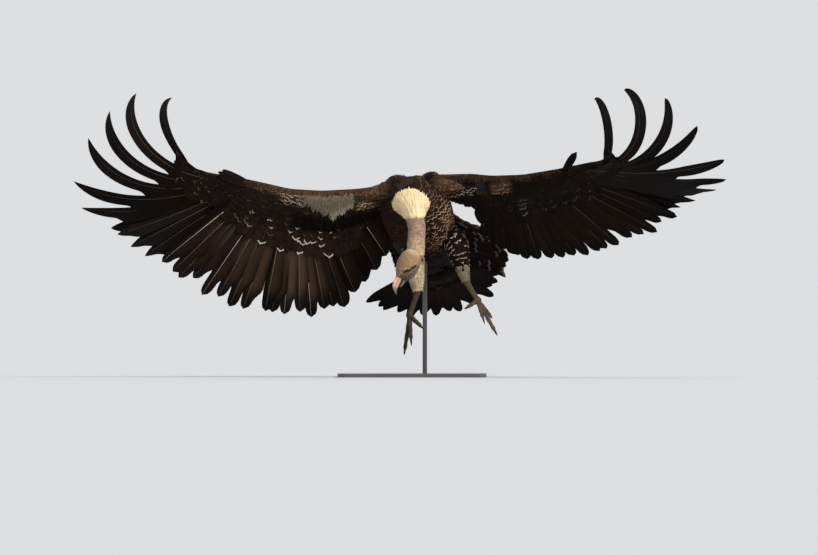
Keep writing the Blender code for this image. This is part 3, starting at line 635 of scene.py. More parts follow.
def down_material(name):
    """Soft barbs of down, whose colour each tuft carries."""
    made = Shader(name)
    tint = made.value("tint").outputs["Color"]
    along = made.value("along").outputs["Fac"]
    root = made.mix(made.step(along, 0.0, 0.6), (0.70, 0.62, 0.50), (1.0, 1.0, 1.0))
    base = made.mix(1.0, tint, root, "MULTIPLY")
    fine = made.noise(600.0, 2.0)
    base = made.mix(made.scaled(fine, 0.0, 0.35), base, made.mix(1.0, base, (0.72, 0.66, 0.58), "MULTIPLY"))
    made.bump(fine, 0.4, 0.0006)
    return made.finish(base, 0.85, sheen=0.35, specular=0.2)


def skin_material(name, scale, ridge, roughness):
    """Bare skin: its colour comes with the mesh, with mottling, fine wrinkles and small grains."""
    made = Shader(name)
    tint = made.value("tint").outputs["Color"]
    blotch = made.noise(scale * 0.12, 4.0)
    pores = made.cells(scale)
    wrinkle = made.noise(scale * 0.5, 5.0, rough=0.7)
    dark = made.mix(1.0, tint, (0.55, 0.50, 0.48), "MULTIPLY")
    base = made.mix(made.step(blotch, 0.35, 0.68), dark, tint)
    base = made.mix(made.math("MULTIPLY", made.step(pores, 0.45, 0.75), 0.35), base, dark)
    made.bump(made.math("ADD", wrinkle, made.math("MULTIPLY", pores, 0.8)), ridge, 0.0009)
    return made.finish(base, made.scaled(blotch, roughness - 0.1, roughness + 0.1), specular=0.14)


def horn_material(name, streak_scale, roughness, coat):
    """Horn: its colour comes with the mesh, with long growth streaks and a dull shine."""
    made = Shader(name)
    tint = made.value("tint").outputs["Color"]
    stretched = made.node("Mapping", {"Vector": made.place(), "Scale": (1.0, 1.0, 0.25)}).outputs["Vector"]
    streak = made.noise(streak_scale, 4.0, stretched)
    worn = made.noise(streak_scale * 0.2, 3.0)
    base = made.mix(made.scaled(streak, 0.0, 0.75), tint, made.mix(1.0, tint, (0.62, 0.56, 0.52), "MULTIPLY"))
    base = made.mix(made.math("MULTIPLY", made.step(worn, 0.55, 0.7), 0.25), base, (0.72, 0.66, 0.58))
    made.bump(streak, 0.25, 0.0005)
    return made.finish(base, made.scaled(worn, roughness - 0.08, roughness + 0.14), coat=coat)


def eye_material(skin):
    """A wet ball: a dark pupil in a ring of iris, and a dull rim under the lids."""
    made = Shader("eye_wet")
    out = made.value("across").outputs["Fac"]
    fibre = made.noise(1400.0, 3.0)
    ring = made.mix(fibre, skin.iris, skin.iris * 0.35)
    base = made.mix(made.step(out, 0.36, 0.41), (0.002, 0.002, 0.002), ring)
    base = made.mix(made.step(out, 0.60, 0.68), base, (0.03, 0.022, 0.018))
    made.bump(fibre, 0.03, 0.0002)
    return made.finish(base, made.scaled(fibre, 0.06, 0.14), coat=0.3, specular=0.3)


def stand_material(studio):
    """Satin paint with a fine orange peel and rubbed patches."""
    made = Shader("stand_paint")
    rub = made.noise(14.0, 5.0)
    base = made.mix(made.scaled(rub, 0.0, 0.6), studio.stand, studio.stand * 1.8 + 0.01)
    made.bump(made.noise(900.0, 3.0), 0.08, 0.0003)
    return made.finish(base, made.scaled(rub, 0.28, 0.48), coat=0.2)


def floor_material(studio):
    """A plain pale floor with the faintest mottling."""
    made = Shader("studio_floor")
    cloud = made.noise(0.8, 3.0)
    base = made.mix(made.scaled(cloud, 0.0, 0.5), studio.floor, studio.floor * 0.97)
    return made.finish(base, made.scaled(cloud, 0.85, 0.95), specular=0.1)


# --- surfaces the plumage lies on ---
class Surface:
    """A grid of points (a across the lie, b along it). Feathers lie towards growing b.

    outward is any way that points out at each of them, and settles the way that the normals face.
    """

    def __init__(self, points, outward, closed=False):
        self.points = points
        self.closed = closed
        self.rows, self.columns = points.shape[:2]
        if closed:
            da = 0.5 * (np.roll(points, -1, 0) - np.roll(points, 1, 0))
        else:
            da = np.gradient(points, axis=0)
        db = np.gradient(points, axis=1)
        normals = unit(np.cross(da, db))
        flip = np.sign(dot(normals, outward))
        self.normals = normals * np.where(flip == 0, 1.0, flip)
        self.step_a = np.maximum(np.linalg.norm(da, axis=-1), 1e-5)
        self.step_b = np.maximum(np.linalg.norm(db, axis=-1), 1e-5)

    def read(self, grid, a, b):
        """A grid's values at a and b, running on straight past its last column."""
        top = self.rows if self.closed else self.rows - 1
        if self.closed:
            a = np.mod(a, top)
        else:
            a = np.clip(a, 0, top)
        low_a = np.minimum(np.floor(a).astype(int), top - 1)
        low_b = np.clip(np.floor(b).astype(int), 0, self.columns - 2)
        high_a = (low_a + 1) % self.rows if self.closed else low_a + 1
        sa, sb = a - low_a, b - low_b
        if grid.ndim == 3:
            sa, sb = sa[..., None], sb[..., None]
        first = grid[low_a, low_b] * (1 - sb) + grid[low_a, low_b + 1] * sb
        second = grid[high_a, low_b] * (1 - sb) + grid[high_a, low_b + 1] * sb
        return first * (1 - sa) + second * sa

    def place(self, a, b):
        return self.read(self.points, a, b)

    def rings(self):
        return self.points.transpose(1, 0, 2)

    def row(self, b, spacing, rng, jitter=0.25, first=0.0, last=1.0):
        """Roots spaced evenly along one row, from first to last of its length."""
        count_a = self.rows if self.closed else self.rows - 1
        steps = self.read(self.step_a, np.arange(count_a) + 0.5, np.full(count_a, float(b)))
        length_so_far = np.concatenate([[0.0], np.cumsum(steps)])
        start, end = length_so_far[-1] * first, length_so_far[-1] * last
        count = max(int(round((end - start) / spacing)), 1)
        wanted = start + (np.arange(count) + rng.uniform(0.3, 0.7) + rng.uniform(-jitter, jitter, count)) * (
            (end - start) / count
        )
        a = np.interp(wanted, length_so_far, np.arange(count_a + 1))
        return a, b + rng.uniform(-jitter, jitter, count) * 0.2

    def laid(self, a, b, sizes, halves, turn, lift, rows, columns, rng, camber=0.22, tip=2.2, point=0.0):
        """Feathers rooted at a, b: (n, rows, columns, 3) points, with how far across and along each is."""
        n = len(a)
        v = evenly(rows) ** 0.85
        u = np.linspace(-1.0, 1.0, columns)
        base = 0.45 + 0.55 * ramp(v, 0.0, 0.38)
        end = np.sqrt(np.clip(1.0 - np.clip((v - 0.55) / 0.45, 0, 1) ** tip, 0.0, 1.0))
        taper = 1.0 - point * ramp(v, 0.3, 1.0)
        shape = np.maximum(base * end * taper, 0.05)
        x = halves[:, None, None] * shape[:, None] * u
        y = sizes[:, None, None] * (v[:, None] - 0.05 * (u**2) * v[:, None])
        turn = (turn + rng.normal(0.0, 0.07, n))[:, None, None]
        la = self.read(self.step_a, a, b)[:, None, None]
        lb = self.read(self.step_b, a, b)[:, None, None]
        where_a = a[:, None, None] + (y * np.sin(turn) + x * np.cos(turn)) / la
        where_b = b[:, None, None] + (y * np.cos(turn) - x * np.sin(turn)) / lb
        where_b = np.minimum(where_b, self.columns + 1.0)
        points = self.read(self.points, where_a, where_b)
        normals = unit(self.read(self.normals, where_a, where_b))
        low, high = lift
        rise = low + (high * (1.0 + rng.uniform(-0.15, 0.15, n)) - low)[:, None, None] * v[:, None]
        roll = rng.normal(0.0, 0.06, n)[:, None, None]
        bend = camber * halves[:, None, None] * shape[:, None] * (u**2)
        rise = np.maximum(rise - bend * np.minimum(v / 0.4, 1.0)[:, None] + roll * x, 0.0002)
        made = points + normals * rise[..., None]
        over = np.broadcast_to(u, made.shape[:3])
        along = np.broadcast_to(v[:, None], made.shape[:3])
        return made, over, along


def round_surface(rings, centres):
    points = rings.transpose(1, 0, 2)
    return Surface(points, points - centres, closed=True)


def section_share(c):
    """How thick a wing's fleshy part is at a share of its chord, against its thickest."""
    front = np.sin(0.5 * np.pi * np.clip(c / 0.26, 0, 1) ** 0.62)
    rear = np.cos(0.5 * np.pi * np.clip((c - 0.26) / 0.74, 0, 1)) ** 1.3
    return np.where(c < 0.26, front, rear)


FACES = (("upper", 1.0), ("under", -1.0))
SHOULDER_STATIONS, ARM_STATIONS, HAND_STATIONS = 18, 66, 50
CHORD_SHARES = np.concatenate([evenly(29) ** 1.3, np.linspace(1.04, 1.9, 22)])


def soften(values, times):
    """Rounds off kinks along the first axis, with the ends kept."""
    values = values.copy()
    for _ in range(times):
        values[1:-1] = 0.25 * values[:-2] + 0.5 * values[1:-1] + 0.25 * values[2:]
    return values


def wing_stations(side):
    """Each station's chord line with headings, upper side and thickness, from the body to the tip."""
    wing = WINGS[side]
    inner = SECONDARIES + TERTIALS
    lines, headings, uppers, depths = [], [], [], []
    pitch = radians(wing["arm_pitch"])
    arm_upper = vec((0.0, cos(pitch), sin(pitch)))
    edge = vec(wing["leading_edge"][0]) - vec((SHOULDER_SINK, 0.0, 0.0))
    flatter = pitch + radians(wing["root_tilt"])
    rear = edge + SHOULDER_CHORD * vec((0.0, sin(flatter), -cos(flatter)))
    root = edge + vec((0.0, 0.020, -0.022))
    root_line = root + (rear - root) * CHORD_SHARES[:, None]
    front = between(wing["leading_edge"], 1.0)
    add_chord(secondary(wing, inner - 0.5), COVERT_REACH_ARM, front, lines, headings)
    first_line, first_heading = lines.pop(), headings.pop()
    for share in np.linspace(1.0, 0.0, SHOULDER_STATIONS, endpoint=False):
        lines.append(root_line * share + first_line * (1 - share))
        headings.append(unit(unit(rear - root) * share + first_heading * (1 - share)))
        uppers.append(arm_upper)
        depths.append(0.070 * share + 0.058 * (1 - share))
    for index in np.linspace(inner - 0.5, -0.4, ARM_STATIONS):
        share = (index + 0.5) / inner
        uppers.append(arm_upper)
        depths.append(0.036 + 0.022 * sin(pi * share / 2))
        front = between(wing["leading_edge"], 4.0 - 3.0 * share)
        add_chord(secondary(wing, index), COVERT_REACH_ARM, front, lines, headings)
    for index in np.linspace(-0.4, PRIMARIES - 0.5, HAND_STATIONS):
        share = (index + 0.5) / PRIMARIES
        uppers.append(hand_axes(wing)[2])
        depths.append(0.036 - 0.022 * share)
        front = between(wing["leading_edge"][4:], 2 * share)
        add_chord(primary(wing, index), COVERT_REACH_HAND, front, lines, headings)
    return (*(soften(np.array(part), 14) for part in (lines, headings, uppers)), np.array(depths))


def add_chord(quill, reach, front, lines, headings):
    chord = quill.walk(np.array([reach]))[0][0] - front
    size = np.linalg.norm(chord)
    inside = CHORD_SHARES[CHORD_SHARES <= 1.0]
    beyond = reach + (CHORD_SHARES[CHORD_SHARES > 1.0] - 1.0) * size
    points, ways = quill.walk(beyond)
    lines.append(np.vstack([front + chord * inside[:, None], points]))
    headings.append(np.vstack([np.repeat(unit(chord)[None], len(inside), 0), ways]))


def wing_surfaces(side, inset=0.0045):
    """The upper and lower surfaces that the wing's coverts are rooted on, on their own side of the body."""
    sign = WINGS[side]["sign"]
    lines, headings, uppers, depths = wing_stations(side)
    rise = across(uppers[:, None], headings)
    half = 0.5 * depths[:, None] * section_share(CHORD_SHARES)
    mirror = vec((sign, 1.0, 1.0))
    found = {}
    for face, way in FACES:
        least = np.interp(CHORD_SHARES, [0.0, 0.1, 0.9, 1.4, 1.9], [0.0, 0.0015, 0.0022, 0.0042, 0.0050])
        raised = np.maximum(half - inset, least)
        raised = raised * ramp(CHORD_SHARES, -0.01, 0.03)
        points = (lines + way * rise * raised[..., None]) * mirror
        found[face] = Surface(points, way * rise * mirror)
    return found


def trunk_rings():
    """Ring centres and radii of the trunk: half width, depth of the breast and of the back."""
    stations = vec((
        (-0.0385, 0.012, 0.010, 0.010), (-0.034, 0.040, 0.030, 0.030), (-0.018, 0.074, 0.060, 0.054),
        (0.020, 0.104, 0.094, 0.078),
        (0.070, 0.124, 0.116, 0.088), (0.140, 0.126, 0.122, 0.084), (0.215, 0.118, 0.112, 0.074),
        (0.290, 0.102, 0.086, 0.062), (0.350, 0.080, 0.058, 0.050), (0.395, 0.058, 0.040, 0.040),
    ))
    return on_path(stations, evenly(49))


def trunk_surface(inset, sides=72):
    along, left, back = body_axes()
    rings = trunk_rings()
    angle = round_angles(sides)
    x = np.sign(np.cos(angle)) * np.abs(np.cos(angle)) ** 0.9
    y = np.sign(np.sin(angle)) * np.abs(np.sin(angle)) ** 0.9
    depth = np.where(y[:, None] < 0, rings[:, 2], rings[:, 3]) - inset
    centre = vec(TRUNK_FRONT) + rings[:, :1] * along
    points = centre + left * ((rings[:, 1] - inset) * x[:, None])[..., None]
    points = points + back * (depth * y[:, None])[..., None]
    return Surface(points, points - centre, closed=True)


def shoulder_surface(side, inset, sides=40):
    """The scapulars' mound, from beside the ruff out over the joint of the wing."""
    path = on_path(SHOULDERS[side], evenly(31))
    line = path[:, :3] * vec((WINGS[side]["sign"], 1.0, 1.0))
    radius = path[:, 3] - inset
    rings = tube_rings(line, radius * 1.15, radius, (0.0, -0.3, 1.0), sides)
    return round_surface(rings, line)


def thigh_surface(side, inset, sides=40):
    leg = LEGS[side]
    hip, knee, hock = (vec(leg[k]) for k in ("hip", "knee", "hock"))
    path = vec((hip, hip * 0.5 + knee * 0.5, knee, knee * 0.6 + hock * 0.4, knee * 0.25 + hock * 0.75, hock))
    full = 1.18 if side == "right" else 1.0
    radii = vec([[0.046 * r] for r in (0.8, 1.0, 0.95, 0.78, 0.52 * full, 0.34 * full)])
    t = evenly(37)
    line = on_path(path, t)
    radius = on_path(radii, t)[:, 0] - np.interp(t, [0, 0.6, 1], [inset, inset, 0.003])
    rings = tube_rings(line, radius, radius, (0.0, -1.0, 0.0), sides)
    return round_surface(rings, line)


def plate_surfaces(lines, back, thickness, least):
    """Both faces of a plate of feathers, from its front to its rear edge."""
    shares = np.linspace(0.0, 1.25, 26)
    points = lines[:, 0, None] + (lines[:, 1] - lines[:, 0])[:, None] * shares[:, None]
    rise = across(np.broadcast_to(back, points.shape), unit(lines[:, 1] - lines[:, 0])[:, None])
    half = np.maximum(0.5 * thickness * section_share(shares) - 0.004, least)[:, None]
    return {face: Surface(points + way * rise * half, way * rise) for face, way in FACES}


def flank_lines(side):
    along, left, back = body_axes()
    sign = WINGS[side]["sign"]
    reach = {
        "left": (
            (0.004, 0.065, -0.004), (0.055, 0.088, 0.004), (0.128, 0.105, 0.004), (0.165, 0.140, -0.022),
            (0.158, 0.170, -0.062),
        ),
        "right": ((0, 0.060, 0), (0.005, 0.090, 0), (0.015, 0.110, 0), (0.030, 0.115, 0), (0.050, 0.110, 0)),
    }[side]
    roots = ((0.13, 0.80), (0.18, 0.82), (0.23, 0.80), (0.28, 0.74), (0.34, 0.60))
    rings = trunk_rings()
    lines = []
    for (station, share), (out, on, up) in zip(roots, reach):
        half = np.interp(station, rings[:, 0], rings[:, 1])
        front = vec(TRUNK_FRONT) + along * station + left * sign * half * share - back * 0.01
        edge = vec(TRUNK_FRONT) + along * (station + on) + left * sign * (half + out) + back * up
        lines.append((front, edge))
    lines = vec(lines)
    t = evenly(25)
    return np.stack([on_path(lines[:, 0], t), on_path(lines[:, 1], t)], axis=1)


def tail_lines():
    along, _, _ = tail_axes()
    lines = []
    for index in np.linspace(-0.5, TAIL_FEATHERS - 0.5, 41):
        quill = tail_quill(index)
        rear = quill.walk(np.array([TAIL_COVERT_REACH]))[0][0]
        lines.append((vec(TRUNK_REAR) + quill.along * 0.012 - along * 0.03, rear))
    return vec(lines)


def neck_girth(t):
    full = np.interp(t, [0, 0.15, 0.4, 0.6, 0.85, 0.93, 1.0], [1.05, 1.02, 0.97, 0.96, 1.0, 1.0, 0.82])
    return full * NECK_RADIUS


def neck_line(t):
    """Points down the neck, 0 inside the ruff and 1 at the nape."""
    low, middle, high = (vec(p) for p in NECK_LINE)
    straight = between((low, middle, high), 2.0 * np.asarray(t))
    return straight + vec((0.0, -0.012, 0.006)) * np.sin(np.pi * np.asarray(t))[:, None]


HEAD_SHAPE = vec((
    # along the bill, half width, height to the crown, depth to the throat
    (-0.064, 0.0180, 0.0140, 0.0190), (-0.053, 0.0300, 0.0270, 0.0310), (-0.030, 0.0380, 0.0370, 0.0425),
    (-0.004, 0.0380, 0.0380, 0.0440), (0.018, 0.0325, 0.0325, 0.0410), (0.034, 0.0240, 0.0245, 0.0330),
    (0.046, 0.0160, 0.0200, 0.0240),
))


def head_surface(grow=0.0, sides=48):
    shape = on_path(HEAD_SHAPE, evenly(45))
    angle = round_angles(sides)
    high = np.where(np.sin(angle)[:, None] >= 0, shape[:, 2], shape[:, 3]) + grow
    points = in_head(
        np.broadcast_to(shape[:, 0], high.shape),
        high * np.sin(angle)[:, None],
        (shape[:, 1] + grow) * np.cos(angle)[:, None],
    )
    centre = in_head(shape[:, 0], np.zeros(len(shape)), np.zeros(len(shape)))
    return Surface(points, points - centre, closed=True)


# --- the skin ---
def blob(builder, centre, radius, detail=3):
    """A rough ball, only ever melted into a larger skin."""
    shape = bmesh.new()
    bmesh.ops.create_icosphere(shape, subdivisions=detail, radius=1.0)
    points = vec([v.co for v in shape.verts]) * radius + vec(centre)
    faces = np.array([[v.index for v in f.verts] for f in shape.faces])
    shape.free()
    builder.add(points, [faces])


def body_flesh(depth):
    """The trunk, wings, thighs, flanks and tail root as overlapping closed shells."""
    builder = Builder()
    surface = trunk_surface(depth)
    builder.add_tube(surface.rings())
    for side in WINGS:
        found = wing_surfaces(side, 0.0085)
        inside = CHORD_SHARES < 0.66
        upper = found["upper"].points[:, inside]
        under = found["under"].points[:, inside]
        rings = np.concatenate([upper, under[:, :0:-1]], axis=1)
        builder.add_tube(rings)
        builder.add_tube(thigh_surface(side, depth).rings())
        wing = WINGS[side]
        builder.add_tube(shoulder_surface(side, depth).rings())
        joint = vec(wing["shoulder"]) * vec((wing["sign"], 1, 1))
        path = np.linspace(vec(TRUNK_FRONT) + vec((0.03 * wing["sign"], 0.05, -0.04)), joint, 9)
        radius = np.linspace(0.055, 0.022, 9)
        builder.add_tube(tube_rings(path, radius, radius, (0, -1, 0), 20))
        plates(builder, flank_lines(side), body_axes()[2], 0.030)
    plates(builder, tail_lines(), tail_axes()[2], 0.080)
    return builder


def plates(builder, lines, back, thickness):
    shares = np.linspace(0.0, 0.72, 14)
    points = lines[:, 0, None] + (lines[:, 1] - lines[:, 0])[:, None] * shares[:, None]
    rise = across(np.broadcast_to(back, points.shape), unit(lines[:, 1] - lines[:, 0])[:, None])
    half = np.maximum(0.5 * thickness * section_share(shares) - 0.006, 0.0035)[:, None]
    rings = np.concatenate([points + rise * half, (points - rise * half)[:, ::-1]], axis=1)
    builder.add_tube(rings)


EYE_PLACE = (0.009, 0.0075, 0.0256)  # forward along the bill, up to the crown, and out
BROW_FORWARD, BROW_RISE = 0.876, 0.482  # the brow's way in the head's own plane


def brow_axes(b, c):
    """How far forward along the brow, and how far above it, a place in the head's own plane lies."""
    b, c = b - EYE_PLACE[0], c - EYE_PLACE[1]
    return BROW_FORWARD * b + BROW_RISE * c, BROW_FORWARD * c - BROW_RISE * b


def head_place(points):
    """Where points lie in the head: forward along the bill, up to the crown and to the bird's left."""
    local = points - vec(HEAD_CENTRE)
    return [local @ axis for axis in head_axes()]


def eye_centre(sign):
    return in_head(*EYE_PLACE[:2], sign * EYE_PLACE[2])


def eye_pole(sign):
    """The way an eye looks: out of the head and a little forward."""
    bill, crown, left = head_axes()
    return unit(left * sign + bill * 0.20 - crown * 0.05)


def lid_shell(builder, sign, ball):
    """A thick lid round the eyeball, with an almond opening that slopes down to the bill."""
    bill, crown, _ = head_axes()
    outward = eye_pole(sign)
    forward = across(BROW_FORWARD * bill + BROW_RISE * crown, outward)
    upward = np.cross(forward, outward) * sign
    angle = np.linspace(0, 2 * np.pi, 41)
    high = np.where(np.sin(angle) > 0, 14.0, 25.0)
    opening = 1.0 / np.sqrt((np.cos(angle) / 58.0) ** 2 + (np.sin(angle) / high) ** 2)
    lip = vec([0.0008] + 6 * [0.0016])
    rings = []
    for turn, edge in zip(angle, opening):
        polar = np.radians(np.linspace(edge, 88.0, 7))[:, None]
        line = np.cos(polar) * outward + np.sin(polar) * (forward * cos(turn) + upward * sin(turn))
        outer = eye_centre(sign) + line * (ball + lip)[:, None]
        rings.append(np.concatenate([outer, (eye_centre(sign) + line * (ball * 0.93))[::-1]]))
    builder.add_tube(vec(rings), caps=False)


def head_flesh():
    builder = Builder()
    t = evenly(40)
    builder.add_tube(tube_rings(neck_line(t), neck_girth(t), neck_girth(t), (0, -1, 0), 40))
    builder.add_tube(head_surface(-0.0012).rings())
    return builder


def sculpt_head(mesh, ball):
    """Brow, sockets, cheeks, jaw crease, throat folds and the neck's fine rings, in the skin's points."""
    points, normals = points_of(mesh), normals_of(mesh)
    b, c, l = head_place(points)
    side = np.abs(l)
    near = lambda x, centre, width: np.exp(-(((x - centre) / width) ** 2))
    on_head = np.where(b > -0.045, 1.0, 0.0)
    flank = on_head * ramp(side, 0.009, 0.020)
    forward, above = brow_axes(b, c)
    move = np.zeros(len(points))
    for sign in (1.0, -1.0):
        away = np.linalg.norm(points - eye_centre(sign), axis=1)
        move -= 0.0060 * np.exp(-((np.maximum(away - ball * 1.05, 0.0) / 0.0045) ** 2)) * (away < 0.03)
    move += 0.0050 * near(above, 0.0080, 0.0042) * near(forward, 0.002, 0.019) * flank
    move -= 0.0036 * near(above, 0.0010, 0.0026) * within(forward, -0.019, 0.021, 0.004) * flank
    move += 0.0022 * near(above, -0.0105, 0.0050) * near(forward, -0.002, 0.015) * flank
    jaw = c - (0.002 + 0.42 * (b - 0.050))
    move -= 0.0026 * near(jaw, 0.0, 0.0019) * ramp(b, 0.002, 0.018) * flank
    move += 0.0018 * near(jaw, -0.0060, 0.0040) * near(b, 0.022, 0.016) * flank
    move -= 0.0024 * near(b, -0.025, 0.0042) * near(c, -0.012, 0.0050) * ramp(side, 0.018, 0.028)
    move += 0.0013 * near(np.hypot(b + 0.025, c + 0.012), 0.0075, 0.0022) * ramp(side, 0.018, 0.028)
    wave = np.sin(b * 900.0 + 2.2 * np.sin(c * 210.0)) * near(c, -0.030, 0.013) * ramp(b, -0.030, 0.0)
    move += on_head * 0.0005 * wave
    t, away = nearest_on_line(points, neck_line(evenly(80)))
    on_neck = 1.0 - np.where(b > -0.052, 1.0, 0.0)
    ring = np.sin(t * 150.0 + 1.4 * np.sin(points[:, 0] * 130.0) + 0.9 * np.sin(points[:, 2] * 75.0))
    move += on_neck * 0.00075 * ring * ramp(t, 0.12, 0.3)
    fold = np.sin(t * 34.0 + 1.2 * np.sin(points[:, 0] * 60.0 + 1.0))
    move += on_neck * 0.0012 * fold * ramp(t, 0.15, 0.35) * (1.0 - ramp(t, 0.85, 1.0))
    move_points(mesh, points + normals * move[:, None])


def nearest_on_line(points, line):
    """For each point, how far along the line its nearest place is, from 0 to 1, and how far off it lies."""
    tree = kdtree.KDTree(len(line))
    for i, place in enumerate(line):
        tree.insert(place, i)
    tree.balance()
    found = [tree.find(p)[1:] for p in points]
    index = np.array([f[0] for f in found], float)
    return index / (len(line) - 1), np.array([f[1] for f in found])


def toe_paths(side):
    """Each toe's centre line, its claw's, and the way to its sole."""
    leg = LEGS[side]
    foot = vec(leg["foot"])
    for name, (direction, size, curl) in leg["toes"].items():
        direction, curl = unit(vec(direction)), radians(curl)
        rear = vec((0.0, 1.0, 0.0)) if direction[1] < 0.5 else vec((0.0, -1.0, 0.0))
        sole = across(rear, direction)

        def walk(origin, turn, turns_by, distance, steps):
            angle = turn + turns_by * (np.arange(steps) + 0.5) / steps
            heading = np.cos(angle)[:, None] * direction + np.sin(angle)[:, None] * sole
            return np.vstack([origin, origin + np.cumsum(heading, axis=0) * distance / steps])

        toe = walk(foot + direction * FOOT_RADIUS * 0.3, -curl * 0.4, curl, size, 28)
        back = unit(toe[-1] - toe[-2]) * 0.004
        claw = walk(toe[-1] - back, curl * 0.6, radians(75.0), CLAW_LENGTH, 24)
        yield name, toe, claw, sole


def leg_flesh():
    builder = Builder()
    for side in LEGS:
        leg = LEGS[side]
        hock, foot = vec(leg["hock"]), vec(leg["foot"])
        t = np.linspace(-0.22, 1.0, 34)
        line = hock + (foot - hock) * t[:, None]
        girth = TARSUS_RADIUS * np.interp(t, *TARSUS_GIRTH)
        builder.add_tube(tube_rings(line, girth * 0.92, girth, (0, -1, 0), 24))
        blob(builder, foot, FOOT_RADIUS * 0.97)
        for _, toe, _, sole in toe_paths(side):
            s = evenly(len(toe))
            joints = 0.10 * np.cos(s * (len(toe) / 9.0) * 2 * np.pi)
            girth = TOE_RADIUS * (np.interp(s, [0, 0.3, 0.9, 1.0], [1.15, 1.0, 0.92, 0.60]) + joints)
            builder.add_tube(tube_rings(toe, girth * 0.92, girth, -sole, 20))
    return builder


def sculpt_legs(mesh):
    """Rows of scutes over the toes and tarsi, and soft pads under them."""
    points, normals = points_of(mesh), normals_of(mesh)
    move = np.zeros(len(points))
    best = np.full(len(points), 1.0)
    for side in LEGS:
        leg = LEGS[side]
        lines = [(toe, sole) for _, toe, _, sole in toe_paths(side)]
        shank = np.linspace(vec(leg["hock"]), vec(leg["foot"]), 24)
        lines.append((shank, vec((0.0, 1.0, 0.0))))
        for line, sole in lines:
            size = np.linalg.norm(np.diff(line, axis=0), axis=1).sum()
            fine = on_path(line, evenly(160))
            t, away = nearest_on_line(points, fine)
            mine = away < best
            best = np.where(mine, away, best)
            top = ramp(-(normals @ sole), 0.05, 0.55)
            step = (t * size / 0.0046) % 1.0
            scute = (1.0 - ramp(step, 0.72, 0.98) * 1.6) * top * 0.00065
            pad = (np.abs(np.sin(t * size / 0.0105 * np.pi)) - 0.4) * (1 - top) * 0.0008
            move = np.where(mine, (scute + pad) * ramp(t, 0.0, 0.06), move)
    move_points(mesh, points + normals * move[:, None])


# --- feathers ---
class Coat(Builder):
    """Feathers as thin closed shells: a curved top over a flat underside, with a colour each."""

    def add_feathers(self, points, over, along, tint, rim, shaft, crescent=1.0):
        index = numbered(points)
        faces = [grid_faces(index, True)]
        for k in range(1, index.shape[2] - 1):
            faces.append(np.stack([index[:, 0, 0], index[:, 0, k + 1], index[:, 0, k]], -1))
            faces.append(np.stack([index[:, -1, 0], index[:, -1, k], index[:, -1, k + 1]], -1))
        v = along[:, :, :1]
        round_end = np.clip((v - 0.50) / 0.50, 0.0, 1.0)
        wide = np.sqrt(1.0 - round_end**2.2)
        edge = crescent * np.sqrt((over * wide * ramp(v, 0.52, 0.90)) ** 2 + round_end**2.2)
        spots = map_places().find(points[:, 0, index.shape[2] // 2])
        place = spots[:, None, None] + TUFT_PATCH * 0.5 * np.stack([over, 2 * along - 1], -1)
        tones = {
            key: np.broadcast_to(tone[:, None, None], (*index.shape, tone.shape[-1]))
            for key, tone in (("tint", tint), ("rim", rim), ("shaft", shaft))
        }
        self.add(points, faces, across=over, along=along, edge=edge, **tones, place=place)

    def make(self, name, materials):
        made = super().make(name, materials)
        made.data.set_sharp_from_angle(angle=radians(75.0))
        return made


class SkinPlaces:
    """Finds where a feather's root lies on the skin's own map."""

    def __init__(self, skin):
        mesh = skin.data
        mesh.calc_loop_triangles()
        self.corners = points_of(mesh)[read(mesh.loop_triangles, "vertices", 3, np.int32)]
        loops = read(mesh.loop_triangles, "loops", 3, np.int32)
        self.uv = read(mesh.uv_layers["OFBake"].uv, "vector", 2)[loops].astype(float)
        flat = self.corners.reshape(-1, 3)
        self.tree = BVHTree.FromPolygons(flat.tolist(), np.arange(len(flat)).reshape(-1, 3).tolist())

    def find(self, points):
        found = [self.tree.find_nearest(p) for p in points]
        face, place = np.array([f[2] for f in found]), vec([f[0] for f in found])
        a, b, c = (self.corners[face, k] for k in range(3))
        whole = np.maximum(np.linalg.norm(np.cross(b - a, c - a), axis=1), 1e-12)
        wa = np.linalg.norm(np.cross(b - place, c - place), axis=1) / whole
        wb = np.linalg.norm(np.cross(c - place, a - place), axis=1) / whole
        weights = np.stack([wa, wb, np.clip(1.0 - wa - wb, 0.0, 1.0)], -1)
        spot = (self.uv[face] * weights[..., None]).sum(1)
        return np.clip(spot, TUFT_PATCH, 1.0 - TUFT_PATCH)


def varied(tones, rng, amount=0.12):
    """Each feather's own shade of a colour."""
    tones = np.asarray(tones, float)
    return np.clip(tones * (1.0 + rng.normal(0.0, amount, (len(tones), 1))), 0.0, 1.0)


def mixed(a, b, share):
    share = np.clip(np.asarray(share, float), 0.0, 1.0)[..., None]
    return np.asarray(a, float) * (1 - share) + np.asarray(b, float) * share


def with_strength(tone, strength):
    strength = np.broadcast_to(strength, np.asarray(tone).shape[:-1])
    return np.concatenate([tone, strength[..., None]], -1)


# --- flight feathers ---
VENTRAL = np.array([-1.0, -0.72, -0.42, -0.16, -0.06, 0.0, 0.06, 0.16, 0.45, 0.75, 1.0])
DORSAL = np.array([-1.0, -0.6, -0.25, 0.0, 0.25, 0.6, 1.0])


def carried(first, headings):
    """A direction kept square to a curling quill, with as little twist as can be."""
    made = [across(first, headings[0])]
    for heading in headings[1:]:
        made.append(across(made[-1], heading))
    return np.array(made)


